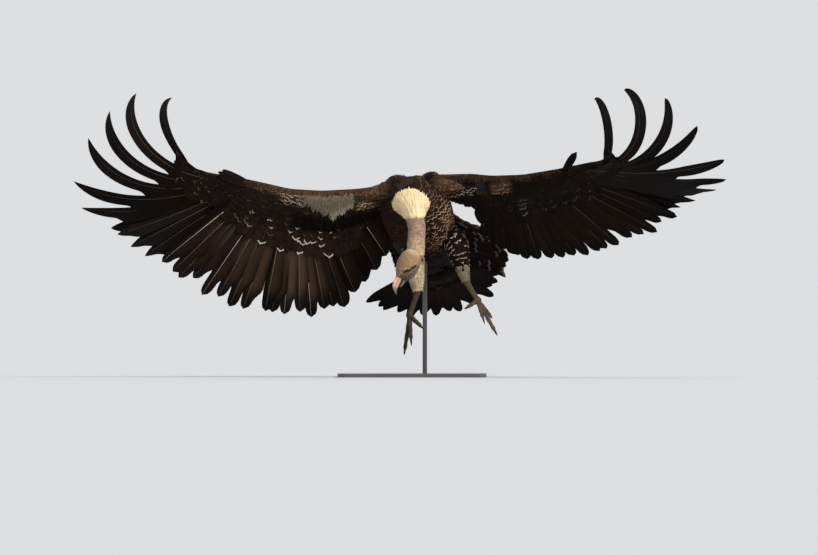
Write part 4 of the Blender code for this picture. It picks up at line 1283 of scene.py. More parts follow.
def vane(make, index, lead, notches, ends, turn, rows, tip, tilt, spread=(0.47, 0.95), sharp=2.3):
    """One flight feather's lower and upper faces: points, how far across, and how far along.

    lead is the way that index grows towards the leading edge, notches are where its leading and
    trailing edges come free, and ends are its half widths beyond them.
    """
    quill = make(index)
    s = 0.02 + (quill.size - 0.02) * evenly(rows) ** 0.8
    points, heading = quill.walk(s)
    ahead, behind = make(index + 0.5 * lead).walk(s)[0], make(index - 0.5 * lead).walk(s)[0]
    gap = ahead - behind
    gap = gap - dot(gap, heading) * heading
    wide = np.linalg.norm(gap, axis=1)
    side = unit(gap)
    loose_from = 0.5 * (notches[0] + notches[1])
    at = int(np.searchsorted(s, loose_from - 0.03))
    side[at:] = carried(side[at], heading[at:])
    free = ramp(s, loose_from, loose_from + 0.6 * (quill.size - loose_from))[:, None] * turn
    facing = unit(np.cross(heading, vec((0.0, 1.0, 0.0))))
    facing = facing * np.sign((facing[at] * side[at]).sum())
    flips = np.cumprod(np.where((facing[1:] * facing[:-1]).sum(1) < 0, -1.0, 1.0))
    facing[1:] *= flips[:, None]
    width = across(side * (1 - free) + facing * free, heading)
    normal = np.cross(width, heading)
    if (normal[0] * quill.lift).sum() < 0:
        normal = -normal
    halves = []
    for share, most, notch, end in zip(spread, (0.034, 0.060), notches, ends):
        joined = np.minimum(share * wide, most)
        halves.append(joined + (end - joined) * ramp(s, notch - 0.030, notch + 0.022))
    rounding = np.clip((s - (quill.size - tip)) / tip, 0.0, 1.0)
    end = np.clip(1.0 - rounding**sharp, 0.0, 1.0) ** (0.5 if sharp > 2 else 0.85)
    end = np.maximum(end * (0.55 + 0.45 * ramp(s, 0.02, 0.10)), 0.02)
    share_along = s / quill.size
    sheets = []
    for shares, way in ((VENTRAL, -1.0), (DORSAL, 1.0)):
        x = np.where(shares > 0, halves[0][:, None], halves[1][:, None]) * shares * end[:, None]
        shaft = np.abs(shares) < 0.1
        ridge_at = 0.0019 * (1 - 0.6 * share_along)[:, None] * np.sign(shares)
        x = np.where(shaft, ridge_at * end[:, None], x)
        loose = 1.0 - 0.75 * free / max(turn, 0.01) if turn else 1.0
        z = np.tan(radians(tilt)) * x * ramp(s, 0.09, 0.20)[:, None] * loose
        z = z - 0.0022 * (shares**2) * ramp(s, 0.1, 0.25)[:, None]
        thick = 0.0005 * (1.0 - 0.7 * shares**2) * np.ones((rows, 1))
        if way < 0:
            thick = thick + np.where(shares == 0.0, 0.0016, 0.0) * (1 - 0.7 * share_along)[:, None]
        z = z + way * thick
        body = points[:, None] + width[:, None] * x[..., None] + normal[:, None] * z[..., None]
        over, along = (np.broadcast_to(part, x.shape) for part in (shares, share_along[:, None]))
        sheets.append((body, over, along))
    return sheets


def strip_place(over, along, number, total):
    """A flight feather's own strip of the map."""
    columns = max(int(ceil(sqrt(total * 3.0))), 1)
    rows = int(ceil(total / columns))
    x, y = number % columns, number // columns
    across_strip = (x + 0.5 + 0.44 * over) / columns
    return np.stack([across_strip, (y + 0.03 + 0.94 * along) / rows], -1)


def flight_tints(colours, side, kind, index, over, along, under):
    """Vane colours of a flight feather, from its base to its tip, with painted shade under the left wing's
    secondaries and painted shadow along the edges of every secondary.
    """
    black, brown = colours.black, colours.brown
    if kind == "primary":
        base = brown * 0.18
        return mixed(base, black, ramp(along, 0.25, 0.55))
    if kind == "tail":
        return mixed(brown * 0.35, black, ramp(along, 0.55, 0.85))
    middle = ramp(index, 3.5, 7.5) * (1.0 - ramp(index, 11.5, 15.0))
    # Painted shade: beneath, the left wing's secondaries are painted darker than the right's.
    if side == "right":
        warm = mixed(brown * 0.30, brown * 1.30, middle)
        edge = mixed(brown * 0.10, brown * 0.16, middle)
    else:
        warm = mixed(brown * 0.22, brown * 0.32, middle)
        edge = brown * 0.17
    if not under:
        warm, edge = brown * 0.5, brown * 0.32
    # Painted shadow: each secondary is painted darker at its edges than in its warm middle, where the
    # neighbouring feathers overlap.
    centre = 1.0 - ramp(np.abs(over + 0.25), 0.15, 0.85)
    tone = mixed(edge, warm, centre)
    return mixed(tone, black, ramp(along, 0.72, 0.93))


def uneven(make, size, swing):
    """The same feathers, a little longer or shorter and swung to one side, as wear and wind leave them."""

    def changed(index):
        quill = make(index)
        along = cos(swing) * quill.along + sin(swing) * np.cross(quill.lift, quill.along)
        return Quill(quill.root, along, quill.lift, quill.size * size, quill.curl, quill.onset)

    return changed


def flight_set(side, rng):
    """Every flight feather of a wing: its kind, index, and what its vane is made from."""
    wing = WINGS[side]
    lengths = lambda i: float(between(wing["primary_lengths"], i))
    edges = [lengths(i + 0.5) - free for i, free in enumerate(wing["primary_free"])]
    edges = [lengths(0) - 0.05, *edges, COVERT_REACH_HAND]
    for i in range(PRIMARIES):
        finger = i > 3
        wide = (0.0112, 0.0195) if i == PRIMARIES - 1 else (0.0150, 0.0245) if finger else (0.0175, 0.0230)
        turn = FINGER_TURN * min((i - 3) / 3, 1.0) if finger else 0.0
        loose = 0.3 if finger else 1.0
        size, swing = 1 + loose * rng.normal(0, 0.014), loose * rng.normal(0, 0.015)
        make = uneven(lambda index: primary(wing, index), size, swing)
        yield {
            "kind": "primary", "index": i, "make": make, "lead": 1.0, "notches": (edges[i + 1], edges[i]),
            "ends": wide, "turn": turn, "rows": 44, "tip": 0.17 if finger else 0.075,
            "spread": (0.47, 1.8) if i == 0 else (0.47, 0.95),
            "sharp": 2.05 if finger and side == "left" else 1.9,
        }
    last = SECONDARIES + wing["tertials"] - 1
    for i in range(last + 1):
        make = uneven(lambda index: secondary(wing, index), 1 + rng.normal(0, 0.026), rng.normal(0, 0.019))
        inner = i >= SECONDARIES - 1
        worn = 0.0 if inner else np.minimum(rng.exponential(0.016, 2), 0.045)
        free = np.ones(2) * (make(i).size - ((0.030 if inner else SECONDARY_FREE) + worn))
        yield {
            "kind": "secondary", "index": i, "make": make, "lead": -1.0, "notches": tuple(free),
            "ends": (0.0240, 0.0290) if inner else (0.0190, 0.0240), "turn": 0.0, "rows": 28,
            "tip": rng.uniform(0.040, 0.058),
            "spread": (1.1, 0.95) if i == 0 else (0.47, 0.4) if i == last else (0.47, 0.95), "sharp": 2.5,
        }


def add_vane(builder, sheet, tint, rim, shaft, turned, number, total):
    """Adds one face of a flight feather, with its own strip of the map."""
    points, over, along = sheet
    rim, shaft = (np.broadcast_to(tone, tint.shape) for tone in (rim, shaft))
    values = {
        "across": over, "along": along, "tint": tint, "rim": with_strength(rim, 0.0), "shaft": shaft,
        "place": strip_place(over, along, number, total),
    }
    if turned:
        points, values = points[:, ::-1], {key: value[:, ::-1] for key, value in values.items()}
    builder.add_sheet(points, **values)


def flight_feathers(colours, side, rng):
    builder = Builder()
    sign = WINGS[side]["sign"]
    feathers = list(flight_set(side, rng))
    for number, feather in enumerate(feathers):
        kind, i = feather.pop("kind"), feather["index"]
        sheets = vane(tilt=6.0, **feather)
        shade = 1.0 + rng.normal(0.0, 0.16)
        # Painted light: only the sunlit right wing's secondaries get pale shafts and faint whitish streaks on
        # the inner webs. Some of their shafts are painted bright white, partly as painted highlights. The
        # other shafts are painted darker, partly as painted shade.
        lit = side == "right" and kind == "secondary"
        worn = lit and rng.random() < 0.3
        pale = colours.white * 1.1 if worn else colours.shaft * (0.55 if lit else rng.uniform(0.08, 0.35))
        for face, (points, over, along) in enumerate(sheets):
            under = face == 0
            tint = flight_tints(colours, side, kind, i, over, along, under) * shade
            if under and lit and i < 12:
                inner_web = ramp(-over, 0.55, 0.95) * ramp(along, 0.2, 0.3) * (1 - ramp(along, 0.45, 0.7))
                tint = mixed(tint, colours.white * 0.7, inner_web * 0.10 * rng.uniform(0.2, 1.0))
            add_vane(
                builder, (points * vec((sign, 1.0, 1.0)), over, along), tint, colours.buff * 0.5,
                pale if under else colours.brown * 0.6, (sign > 0) == under, 2 * number + face,
                2 * len(feathers),
            )
    return builder


def tail_feathers(colours, rng):
    builder = Builder()
    notch = TAIL_LENGTH - 0.045
    for i in range(TAIL_FEATHERS):
        lead = 1.0 if i >= TAIL_FEATHERS / 2 else -1.0
        make = uneven(tail_quill, 1 + rng.normal(0.0, 0.035), rng.normal(0.0, 0.028))
        sheets = vane(make, i, lead, (notch, notch), (0.0160, 0.0200), 0.0, 26, 0.055, 6.0, sharp=2.2)
        for face, sheet in enumerate(sheets):
            tint = flight_tints(colours, "left", "tail", i, *sheet[1:], face == 0) * (1 + rng.normal(0, 0.1))
            turned = (lead > 0) == (face == 0)
            shaft, total = colours.brown * 0.8, 2 * TAIL_FEATHERS
            add_vane(builder, sheet, tint, colours.buff, shaft, turned, 2 * i + face, total)
    return builder


def alula_feathers(colours, side):
    """The thumb's three stiff feathers, rooted in the leading edge and raised off it."""
    wing = WINGS[side]
    base, end = (vec(p) for p in wing["alula"])
    along = unit(end - base)
    lift = across(vec((0.0, -1.0, 0.0)), along)
    side_way = np.cross(along, lift)
    builder = Builder()
    size = np.linalg.norm(end - base)

    def make(index):
        fan = radians((3.0 if side == "right" else 1.0) * (index - 1.0))
        way = cos(fan) * along + sin(fan) * side_way
        root = base + side_way * 0.003 * (index - 1.0) + lift * 0.0015 * index
        return Quill(root, way, lift, size * (1.0 - 0.07 * abs(index - 1.0)), 0.05, 1.5)

    for k in range(3):
        sheets = vane(make, k, 1.0, (0.02, 0.02), (0.0085, 0.0115), 0.0, 20, 0.050, 8.0, (0.6, 1.0), 2.1)
        for face, (points, over, share) in enumerate(sheets):
            tint = np.broadcast_to(colours.black, over.shape + (3,))
            sheet = (points * vec((wing["sign"], 1.0, 1.0)), over, share)
            add_vane(builder, sheet, tint, colours.buff, colours.brown * 0.3, False, 2 * k + face, 6)
    return builder


# --- coverts ---
COVERT_ROWS = (
    # where the tips end on the chord, length, half width, spacing, lift at the tip
    (1.24, 0.092, 0.0205, 0.0228, 0.0042), (1.02, 0.066, 0.0160, 0.0180, 0.0046),
    (0.86, 0.050, 0.0125, 0.0138, 0.0048), (0.73, 0.044, 0.0112, 0.0124, 0.0048),
    (0.61, 0.039, 0.0102, 0.0113, 0.0046), (0.50, 0.034, 0.0093, 0.0103, 0.0044),
    (0.40, 0.030, 0.0085, 0.0094, 0.0042), (0.31, 0.026, 0.0077, 0.0085, 0.0038),
    (0.235, 0.023, 0.0070, 0.0077, 0.0034), (0.170, 0.020, 0.0063, 0.0069, 0.0030),
    (0.115, 0.018, 0.0057, 0.0062, 0.0026), (0.068, 0.016, 0.0052, 0.0056, 0.0022),
    (0.030, 0.014, 0.0048, 0.0052, 0.0018),
)


def within(value, low, high, soft):
    """1 between low and high, falling to 0 around both."""
    return ramp(value, low - soft, low + soft) * (1 - ramp(value, high - soft, high + soft))


def under_wing_colours(colours, side, x, c, rng):
    """Tint, rim and shaft of under wing coverts by how far out and how far back their tips lie."""
    n = len(x)
    dark, rufous, brown = colours.covert, colours.rufous, colours.brown
    white, buff = colours.white, colours.buff
    chance = rng.random(n)
    tint = np.tile(dark, (n, 1))
    rim = np.tile(buff * 0.5, (n, 1))
    strength = np.where(chance < 0.12, 0.4, 0.0)
    shoulder = 1 - ramp(x, 0.13, 0.19)
    if side == "right":
        front = (1 - ramp(c, 0.10, 0.24)) * (1 - ramp(x, 0.50, 0.60))
        mottled = np.maximum(front, shoulder * (1 - ramp(c, 0.45, 0.7)))
        tint = mixed(tint, brown * 0.8, mottled)
        rim = mixed(rim, rufous * 1.5, mottled)
        strength = np.maximum(strength, 0.6 * mottled * (chance < 0.7))
        edge = 1 - ramp(c, 0.045, 0.09)
        tint = mixed(tint, rufous * 0.42, edge * ramp(x, 0.12, 0.2))
        scallop = within(x, 0.365, 0.455, 0.014) * within(c, 0.09, 0.30, 0.03)
        scallop = scallop + within(x, 0.135, 0.195, 0.012) * within(c, 0.26, 0.42, 0.04)
        tint = mixed(tint, brown * 0.8, scallop)
        rim = mixed(rim, buff * 0.8 + white * 0.45, scallop)
        strength = np.maximum(strength, 0.95 * scallop)
        down = down_patch(side, x, c)
        tint = mixed(tint, colours.wing_down * rng.uniform(0.8, 1.1, (n, 1)), down)
        rim = mixed(rim, buff * 1.3, down)
        strength = strength * (1 - down) + 0.8 * down * (chance < 0.05)
        band = within(c, 0.50, 0.80, 0.04) * (1 - down) * within(x, 0.12, 0.42, 0.02)
        tint = mixed(tint, dark * 0.25, band)
        strength = strength * (1 - band)
        pale = within(x, 0.27, 0.56, 0.025)
        share = np.interp(c, [0.70, 0.82, 0.96, 1.12, 1.3], [0.10, 0.24, 0.34, 0.40, 0.40])
        rows = pale * ramp(c, 0.62, 0.74) * (rng.random(n) < share)
        tint = mixed(tint, mixed(dark * 0.8, brown * 0.35, pale), ramp(c, 0.78, 0.88))
    else:
        # Painted shade: the left wing's under coverts are painted darker than the right's.
        tint = tint * 0.7
        mottled = np.maximum(1 - ramp(c, 0.06, 0.11), shoulder * (1 - ramp(c, 0.30, 0.50)))
        tint = mixed(tint, brown * 1.1, mottled)
        rim = mixed(rim, rufous * 1.1, mottled)
        strength = strength * 0.5 * (1 - mottled) + 0.5 * mottled * (chance < 0.6)
        scallop = within(x, 0.275, 0.340, 0.012) * within(c, 0.13, 0.36, 0.04)
        tint = mixed(tint, rufous * 0.4, scallop)
        rim = mixed(rim, buff * 1.2, scallop)
        strength = np.maximum(strength, 0.9 * scallop * (chance < 0.8))
        # Painted shade: the left wing's downy patch is painted at a fifth of its colour.
        tint = mixed(tint, colours.wing_down * 0.20, down_patch(side, x, c))
        slant = 3.4 * (x - 0.12)
        line = within(c, 0.52 - slant, 0.64 - slant, 0.02) * within(x, 0.12, 0.235, 0.012)
        spots = within(x, 0.168, 0.212, 0.006) * within(c, 0.22, 0.42, 0.04)
        column = within(x, 0.368, 0.392, 0.004) * within(c, 0.58, 1.06, 0.03) * 0.38
        diagonal = within(c, 1.0, 1.1, 0.02) * within(x, 0.42, 0.60, 0.02) * 0.18
        rows = np.clip(line + spots * (chance < 0.6) + column + diagonal * (chance < 0.6), 0, 1)
    rim = mixed(rim, white * (1.0 if side == "right" else 1.5), rows)
    strength = np.maximum(strength, rows * 0.85)
    shaft = mixed(tint * 0.7, rim * 0.5, 0.15)
    return varied(tint, rng, 0.16), with_strength(rim, np.clip(strength, 0, 1)), shaft


def upper_wing_colours(colours, side, x, c, rng):
    """Brown coverts, each with a broad pale edge, as all the upper side has."""
    n = len(x)
    tint = mixed(colours.back, colours.back * 0.55, ramp(c, 0.9, 1.2))
    tint = np.broadcast_to(tint, (n, 3))
    rim = np.repeat((colours.buff * 0.55 + colours.white * 0.5)[None], n, 0)
    hand = ramp(x, 0.56, 0.68)
    tint = mixed(tint, colours.black * 1.5, hand * 0.8)
    strength = 0.85 * rng.uniform(0.6, 1.0, n) * (1 - 0.9 * hand)
    return varied(tint, rng, 0.15), with_strength(rim, strength), tint * 0.6


def wing_coverts(colours, side, face, rng):
    coat = Coat()
    surface = wing_surfaces(side)[face]
    sign = WINGS[side]["sign"]
    grid = np.arange(len(CHORD_SHARES), dtype=float)
    last_inside = np.searchsorted(CHORD_SHARES, 1.0)
    paint = under_wing_colours if face == "under" else upper_wing_colours
    for order, (tip, size, half, spacing, lift) in enumerate(COVERT_ROWS):
        first = 0.17 if order < 2 else 0.0
        last = 0.985 if order < 2 else 0.955
        a, _ = surface.row(np.interp(min(tip, 1.0), CHORD_SHARES, grid), spacing, rng, 0.14, first, last)
        chord = np.array([
            surface.read(surface.step_b, np.full(last_inside, one), grid[:last_inside]).sum() for one in a
        ])
        sizes = size * (1.0 + rng.normal(0, 0.05, len(a))) * np.interp(a, [0, 80, 130], [1.0, 1.0, 0.82])
        big = order < 2
        tips = tip + rng.normal(0.0, 0.030 if big else 0.014, len(a)) + 0.012 * (np.arange(len(a)) % 2)
        b = np.interp(np.maximum(tips - sizes / chord, 0.002), CHORD_SHARES, grid)
        turn = 0.10 + 0.35 * ramp(a, 90, 133)
        shape = (12, 9) if big else (8, 7) if order < 6 else (6, 5)
        points, over, along = surface.laid(
            a, b, sizes, half * rng.uniform(0.92, 1.1, len(a)), turn, (0.0004, lift), *shape, rng, 0.16
        )
        x = np.abs(points[:, shape[0] // 2, shape[1] // 2, 0])
        tint, rim, shaft = paint(colours, side, x, tips, rng)
        if (sign > 0) != (face == "under"):
            points, over, along = (v[:, :, ::-1] for v in (points, over, along))
        coat.add_feathers(points, over, along, tint, rim, shaft, 0.95 if big and face == "under" else 1.0)
    if face == "under":
        wing_down(coat, colours, surface, side, rng)
    return coat


def down_patch(side, x, c):
    """How much of a place under the wing belongs to its bare downy patch."""
    if side == "left":
        return within(x, 0.224, 0.256, 0.008) * within(c, 0.14, 0.34, 0.03)
    low = 0.44 - 2.3 * np.abs(x - 0.272) + 0.03 * np.sin(190.0 * x)
    return within(x, 0.208, 0.375, 0.012) * ramp(c, 0.09, 0.14) * (1 - ramp(c, low, low + 0.04))


def wing_down(coat, colours, surface, side, rng):
    """Short soft tufts over the downy patch."""
    grid = np.arange(len(CHORD_SHARES), dtype=float)
    # Painted shade: the left wing's down tufts are painted at a fifth of their colour.
    tone = colours.wing_down * (1.0 if side == "right" else 0.20)
    for c in np.arange(0.10, 0.66, 0.022):
        a, b = surface.row(np.interp(c, CHORD_SHARES, grid), 0.0042, rng, 0.4)
        x = np.abs(surface.place(a, b)[:, 0])
        kept = down_patch(side, x, c + 0.03) > 0.5
        if not kept.any():
            continue
        a, b = a[kept], b[kept]
        n = len(a)
        sizes, halves = rng.uniform(0.010, 0.016, n), rng.uniform(0.0016, 0.0026, n)
        turn = rng.normal(0.2, 0.35, n)
        points, over, along = surface.laid(
            a, b, sizes, halves, turn, (0.0035, 0.0062), 5, 4, rng, 0.1, 2.2, 0.7
        )
        if side == "right":
            points, over, along = (v[:, :, ::-1] for v in (points, over, along))
        pale = 0.75 + 0.9 * ramp(c + 1.2 * (0.27 - x[kept]), 0.22, 0.40) * (1 - ramp(x[kept], 0.26, 0.33))
        tint = varied(tone * pale[:, None], rng, 0.16)
        coat.add_feathers(points, over, along, tint, with_strength(tint, 0.0), tint * 0.8)


# --- body plumage ---
def body_coat(
    coat, surface, bs, size, half, spacing, lift, shape, rng, paint,
    keep=None, turn=0.0, point=0.15, crescent=1.0,
):
    """Rows of feathers across one surface.

    Size, half width and spacing are numbers, or functions of how far along the surface a row lies.
    """
    for b in bs:
        share = b / (surface.columns - 1)
        long, wide, gap = (value(share) if callable(value) else value for value in (size, half, spacing))
        a, at = surface.row(b, gap, rng, 0.3)
        sizes = long * rng.uniform(0.88, 1.12, len(a))
        halves = wide * rng.uniform(0.9, 1.12, len(a))
        at = np.clip(at, 0.0, None)
        laid = surface.laid(a, at, sizes, halves, turn, lift, *shape, rng, 0.24, 2.2, point)
        middle = laid[0][:, shape[0] // 2, shape[1] // 2]
        kept = np.ones(len(a), bool) if keep is None else keep(middle)
        if kept.any():
            coat.add_feathers(*(part[kept] for part in laid), *paint(middle[kept], share, rng), crescent)


def spaced(surface, step):
    """Values of b one feather row apart along a surface."""
    size = surface.step_b.mean(axis=0)
    total = np.concatenate([[0.0], np.cumsum(0.5 * (size[1:] + size[:-1]))])
    count = max(int(total[-1] / step), 2)
    return np.interp(np.linspace(0.0, total[-1], count), total, np.arange(len(total)))


def trunk_colours(colours):
    along, left, back = body_axes()
    breast, belly, upper, buff, grey, white = (
        getattr(colours, k) for k in ("breast", "belly", "back", "buff", "grey", "white")
    )

    def paint(places, share, rng):
        local = places - vec(TRUNK_FRONT)
        s, l, up = local @ along, local @ left, local @ back
        on_back = ramp(up, 0.0, 0.035)
        rear = ramp(s, 0.16, 0.27)
        lit = ramp(l, -0.045, 0.060)
        tint = mixed(mixed(breast, belly, rear), upper, on_back)
        rim = mixed(mixed(buff * 0.35, buff * 1.5, lit), grey * 0.6, rear * (1 - on_back))
        rim = mixed(rim, (0.6 * buff + 0.5 * white), on_back)
        shown = rng.random(len(places)) < 0.45 + 0.45 * lit
        fore = 1 - ramp(s, 0.0, 0.06)
        tint = mixed(tint, upper * 0.3, fore * on_back)
        strength = (0.35 + 0.65 * lit) * (1 - 0.5 * rear) * (1 - 0.8 * fore)
        strength = strength * rng.uniform(0.6, 1.0, len(places)) * shown
        tint = varied(np.broadcast_to(tint, (len(places), 3)), rng, 0.15)
        return tint, with_strength(rim, np.clip(strength, 0, 1)), tint * 0.7

    return paint


def shoulder_colours(colours):
    """Dark over the back, and mottled with rufous in front."""

    def paint(places, share, rng):
        n = len(places)
        front = ramp(-places[:, 1], 0.085, 0.115)
        tint = mixed(colours.back * 0.8, colours.rufous * 0.42, front * rng.uniform(0.3, 1.0, n))
        rim = mixed((0.6 * colours.buff + 0.5 * colours.white), colours.buff * 1.1, front)
        beside = front * (1 - ramp(np.abs(places[:, 0] + 0.005), 0.055, 0.11))
        tint = mixed(tint, colours.covert, beside)
        strength = (0.55 - 0.2 * front) * (rng.random(n) < 0.6) * (1 - 0.9 * beside)
        return varied(tint, rng, 0.2), with_strength(rim, strength), tint * 0.7

    return paint


def thigh_colours(colours, side):
    breast, white = colours.breast, colours.white
    # Painted shade: the left thigh's down is painted darker than the right's.
    pale, start = (colours.leg_down * 1.05, 0.44) if side == "right" else (colours.leg_down * 0.62, 0.62)

    def paint(places, share, rng):
        down = ramp(share + rng.normal(0, 0.03, len(places)), start, start + 0.10)
        tint = mixed(breast * 0.6, pale, down)
        strength = (1 - down) * rng.uniform(0.5, 1.0, len(places)) * (rng.random(len(places)) < 0.62)
        tint = varied(tint, rng, 0.12)
        rim = mixed(white * 1.1, colours.buff * 1.6, rng.random(len(places)))
        return tint, with_strength(rim, strength), tint * 0.8

    return paint


def plate_colours(colours, face, tail):
    belly, grey, upper = (getattr(colours, k) for k in ("belly", "grey", "back"))
    shown, strength = (1.0, 0.8) if face == "upper" else (0.2, 0.15) if tail else (0.45, 0.38)

    def paint(places, share, rng):
        n = len(places)
        tint = upper * 0.8 if face == "upper" else belly * 0.6
        rim = grey * (0.7 if face == "upper" else 1.0)
        seen = rng.uniform(0.5, 1.0, n) * strength * (rng.random(n) < shown)
        tint = varied(np.tile(tint, (n, 1)), rng, 0.15)
        return tint, with_strength(np.tile(rim, (n, 1)), seen), tint * 0.7

    return paint


def ruff_surface():
    """The collar: it leaves the neck far down over the nape, flares like a bell and closes behind its rim."""
    low, middle = vec(NECK_LINE[0]), vec(NECK_LINE[1])
    start = low + 0.15 * (middle - low)
    axis = unit(vec(RUFF_BACK) - start)
    side = across(vec((1.0, 0.0, 0.0)), axis)
    up = np.cross(side, axis)
    angle = round_angles(64)
    nape = 0.5 + 0.5 * np.sin(angle)
    round_axis = side * np.cos(angle)[:, None] + up * np.sin(angle)[:, None]
    down_neck = neck_line(0.06 + 0.38 * nape**0.75)
    way = unit(middle - low)
    root = down_neck + across(round_axis, way) * 0.0305
    narrow = 1.0 - 0.42 * np.sin(2 * angle) ** 2 * (np.sin(angle) < 0)
    wide = side * (RUFF_WIDTH * np.cos(angle))[:, None] + up * (RUFF_HEIGHT * np.sin(angle))[:, None]
    wide = wide * narrow[:, None]
    at = lambda share, size: start + axis * (RUFF_LENGTH * (share - 0.18)) + wide * size
    rim = at(0.62, 0.98)
    swell = 0.5 * (root + rim) + round_axis * (0.012 * nape - 0.012)[:, None] - axis * 0.004
    knots = np.stack([
        root, 0.6 * root + 0.4 * swell, swell, 0.4 * swell + 0.6 * rim + round_axis * 0.003, rim,
        at(0.85, 0.86), at(1.0, 0.66),
    ])
    points = on_path(knots, evenly(41)).transpose(1, 0, 2)
    centre = points.mean(axis=0)
    return Surface(points, points - centre - 0.02 * axis, closed=True)


def neck_surface(grow):
    t = evenly(60)
    girth = neck_girth(t) + grow
    rings = tube_rings(neck_line(t), girth, girth, (0, -1, 0), 48)
    return round_surface(rings, neck_line(t))


# --- painting the skin ---
def skin_tints(skin, colours, points):
    """The skin's colour at each of its points, in the places where the plumage has the same. It has painted
    shade under the plumage, under the brow, in the gape and on the right foot, and painted light under the
    eye and on the left foot.
    """
    b, c, l = head_place(points)
    t, away = nearest_on_line(points, neck_line(evenly(60)))
    # Painted shade: the skin under the plumage is tinted much darker than the belly feathers, so that gaps
    # between feathers read as shade.
    tint = np.tile(colours.belly * 0.4, (len(points), 1))
    near_neck = (away < 0.045) & (t > 0.02)
    neck = mixed(skin.neck, skin.nape, ramp(t, 0.66, 0.90))
    neck = mixed(neck, skin.nape, 1 - ramp(t, 0.08, 0.30))
    x, z = points[:, 0], points[:, 2]
    spots = np.sin(470.0 * x + 2.4 * np.sin(260.0 * z + 1.0)) * np.sin(430.0 * z + 2.6 * np.sin(300.0 * x))
    neck = mixed(neck, skin.face * 1.1, 0.62 * ramp(spots, 0.15, 0.75) * within(t, 0.15, 0.92, 0.10))
    tint = np.where(near_neck[:, None], neck, tint)
    from_middle = points - vec(HEAD_CENTRE) - np.outer(b, head_axes()[0]) * 0.35
    on_head = (np.linalg.norm(from_middle, axis=1) < 0.056) & (b > -0.066)
    forward, above = brow_axes(b, c)
    bare = ramp(-above, -0.002, 0.005) * ramp(b, -0.034, -0.010)
    mottle = 0.5 + 0.5 * np.sin(390.0 * x + 2.0 * np.sin(310.0 * z)) * np.sin(350.0 * z + 1.0)
    head = mixed(skin.nape, skin.crown, ramp(b, -0.056, -0.036))
    head = mixed(head, skin.neck, 0.5 * mottle * ramp(b, -0.02, 0.02))
    head = mixed(head, skin.face, bare)
    head = mixed(head, skin.cere, ramp(b, 0.030, 0.044))
    fine = lambda value, size: np.exp(-((value / size) ** 2))
    flank = ramp(np.abs(l), 0.008, 0.017)
    # Painted highlight: a paler band on the lower lid under the eye.
    under_eye_highlight = fine(above + 0.0085, 0.0032) * within(forward, -0.020, 0.012, 0.005) * flank
    head = mixed(head, skin.neck * 0.62, under_eye_highlight)
    # Painted shadow and shade: a near-black band under the brow, over the eye's slit, is painted shadow. The
    # dark line along the gape's crease is painted shade.
    brow = fine(above - 0.0004, 0.0046) * within(forward, -0.026, 0.024, 0.004) * flank
    gape_shade = fine(c - 0.002 - 0.42 * (b - 0.050), 0.0018) * ramp(b, 0.002, 0.016) * flank
    for painted_shade_mark in (brow, gape_shade):
        head = mixed(head, skin.face * 0.05, painted_shade_mark)
    tint = np.where(on_head[:, None], head, tint)
    low = points[:, 2] < 0.37
    legs = low & ~on_head & ~near_neck & (np.abs(points[:, 1] + 0.05) < 0.09)
    # Painted light and shade on the feet: the right foot is painted darker, as in shade, and the left foot
    # lighter, as in the sun.
    shade = mixed(np.full(3, 0.42), np.full(3, 1.15), ramp(points[:, 0], 0.05, 0.12))
    tint = np.where(legs[:, None], skin.leg * shade, tint)
    return tint


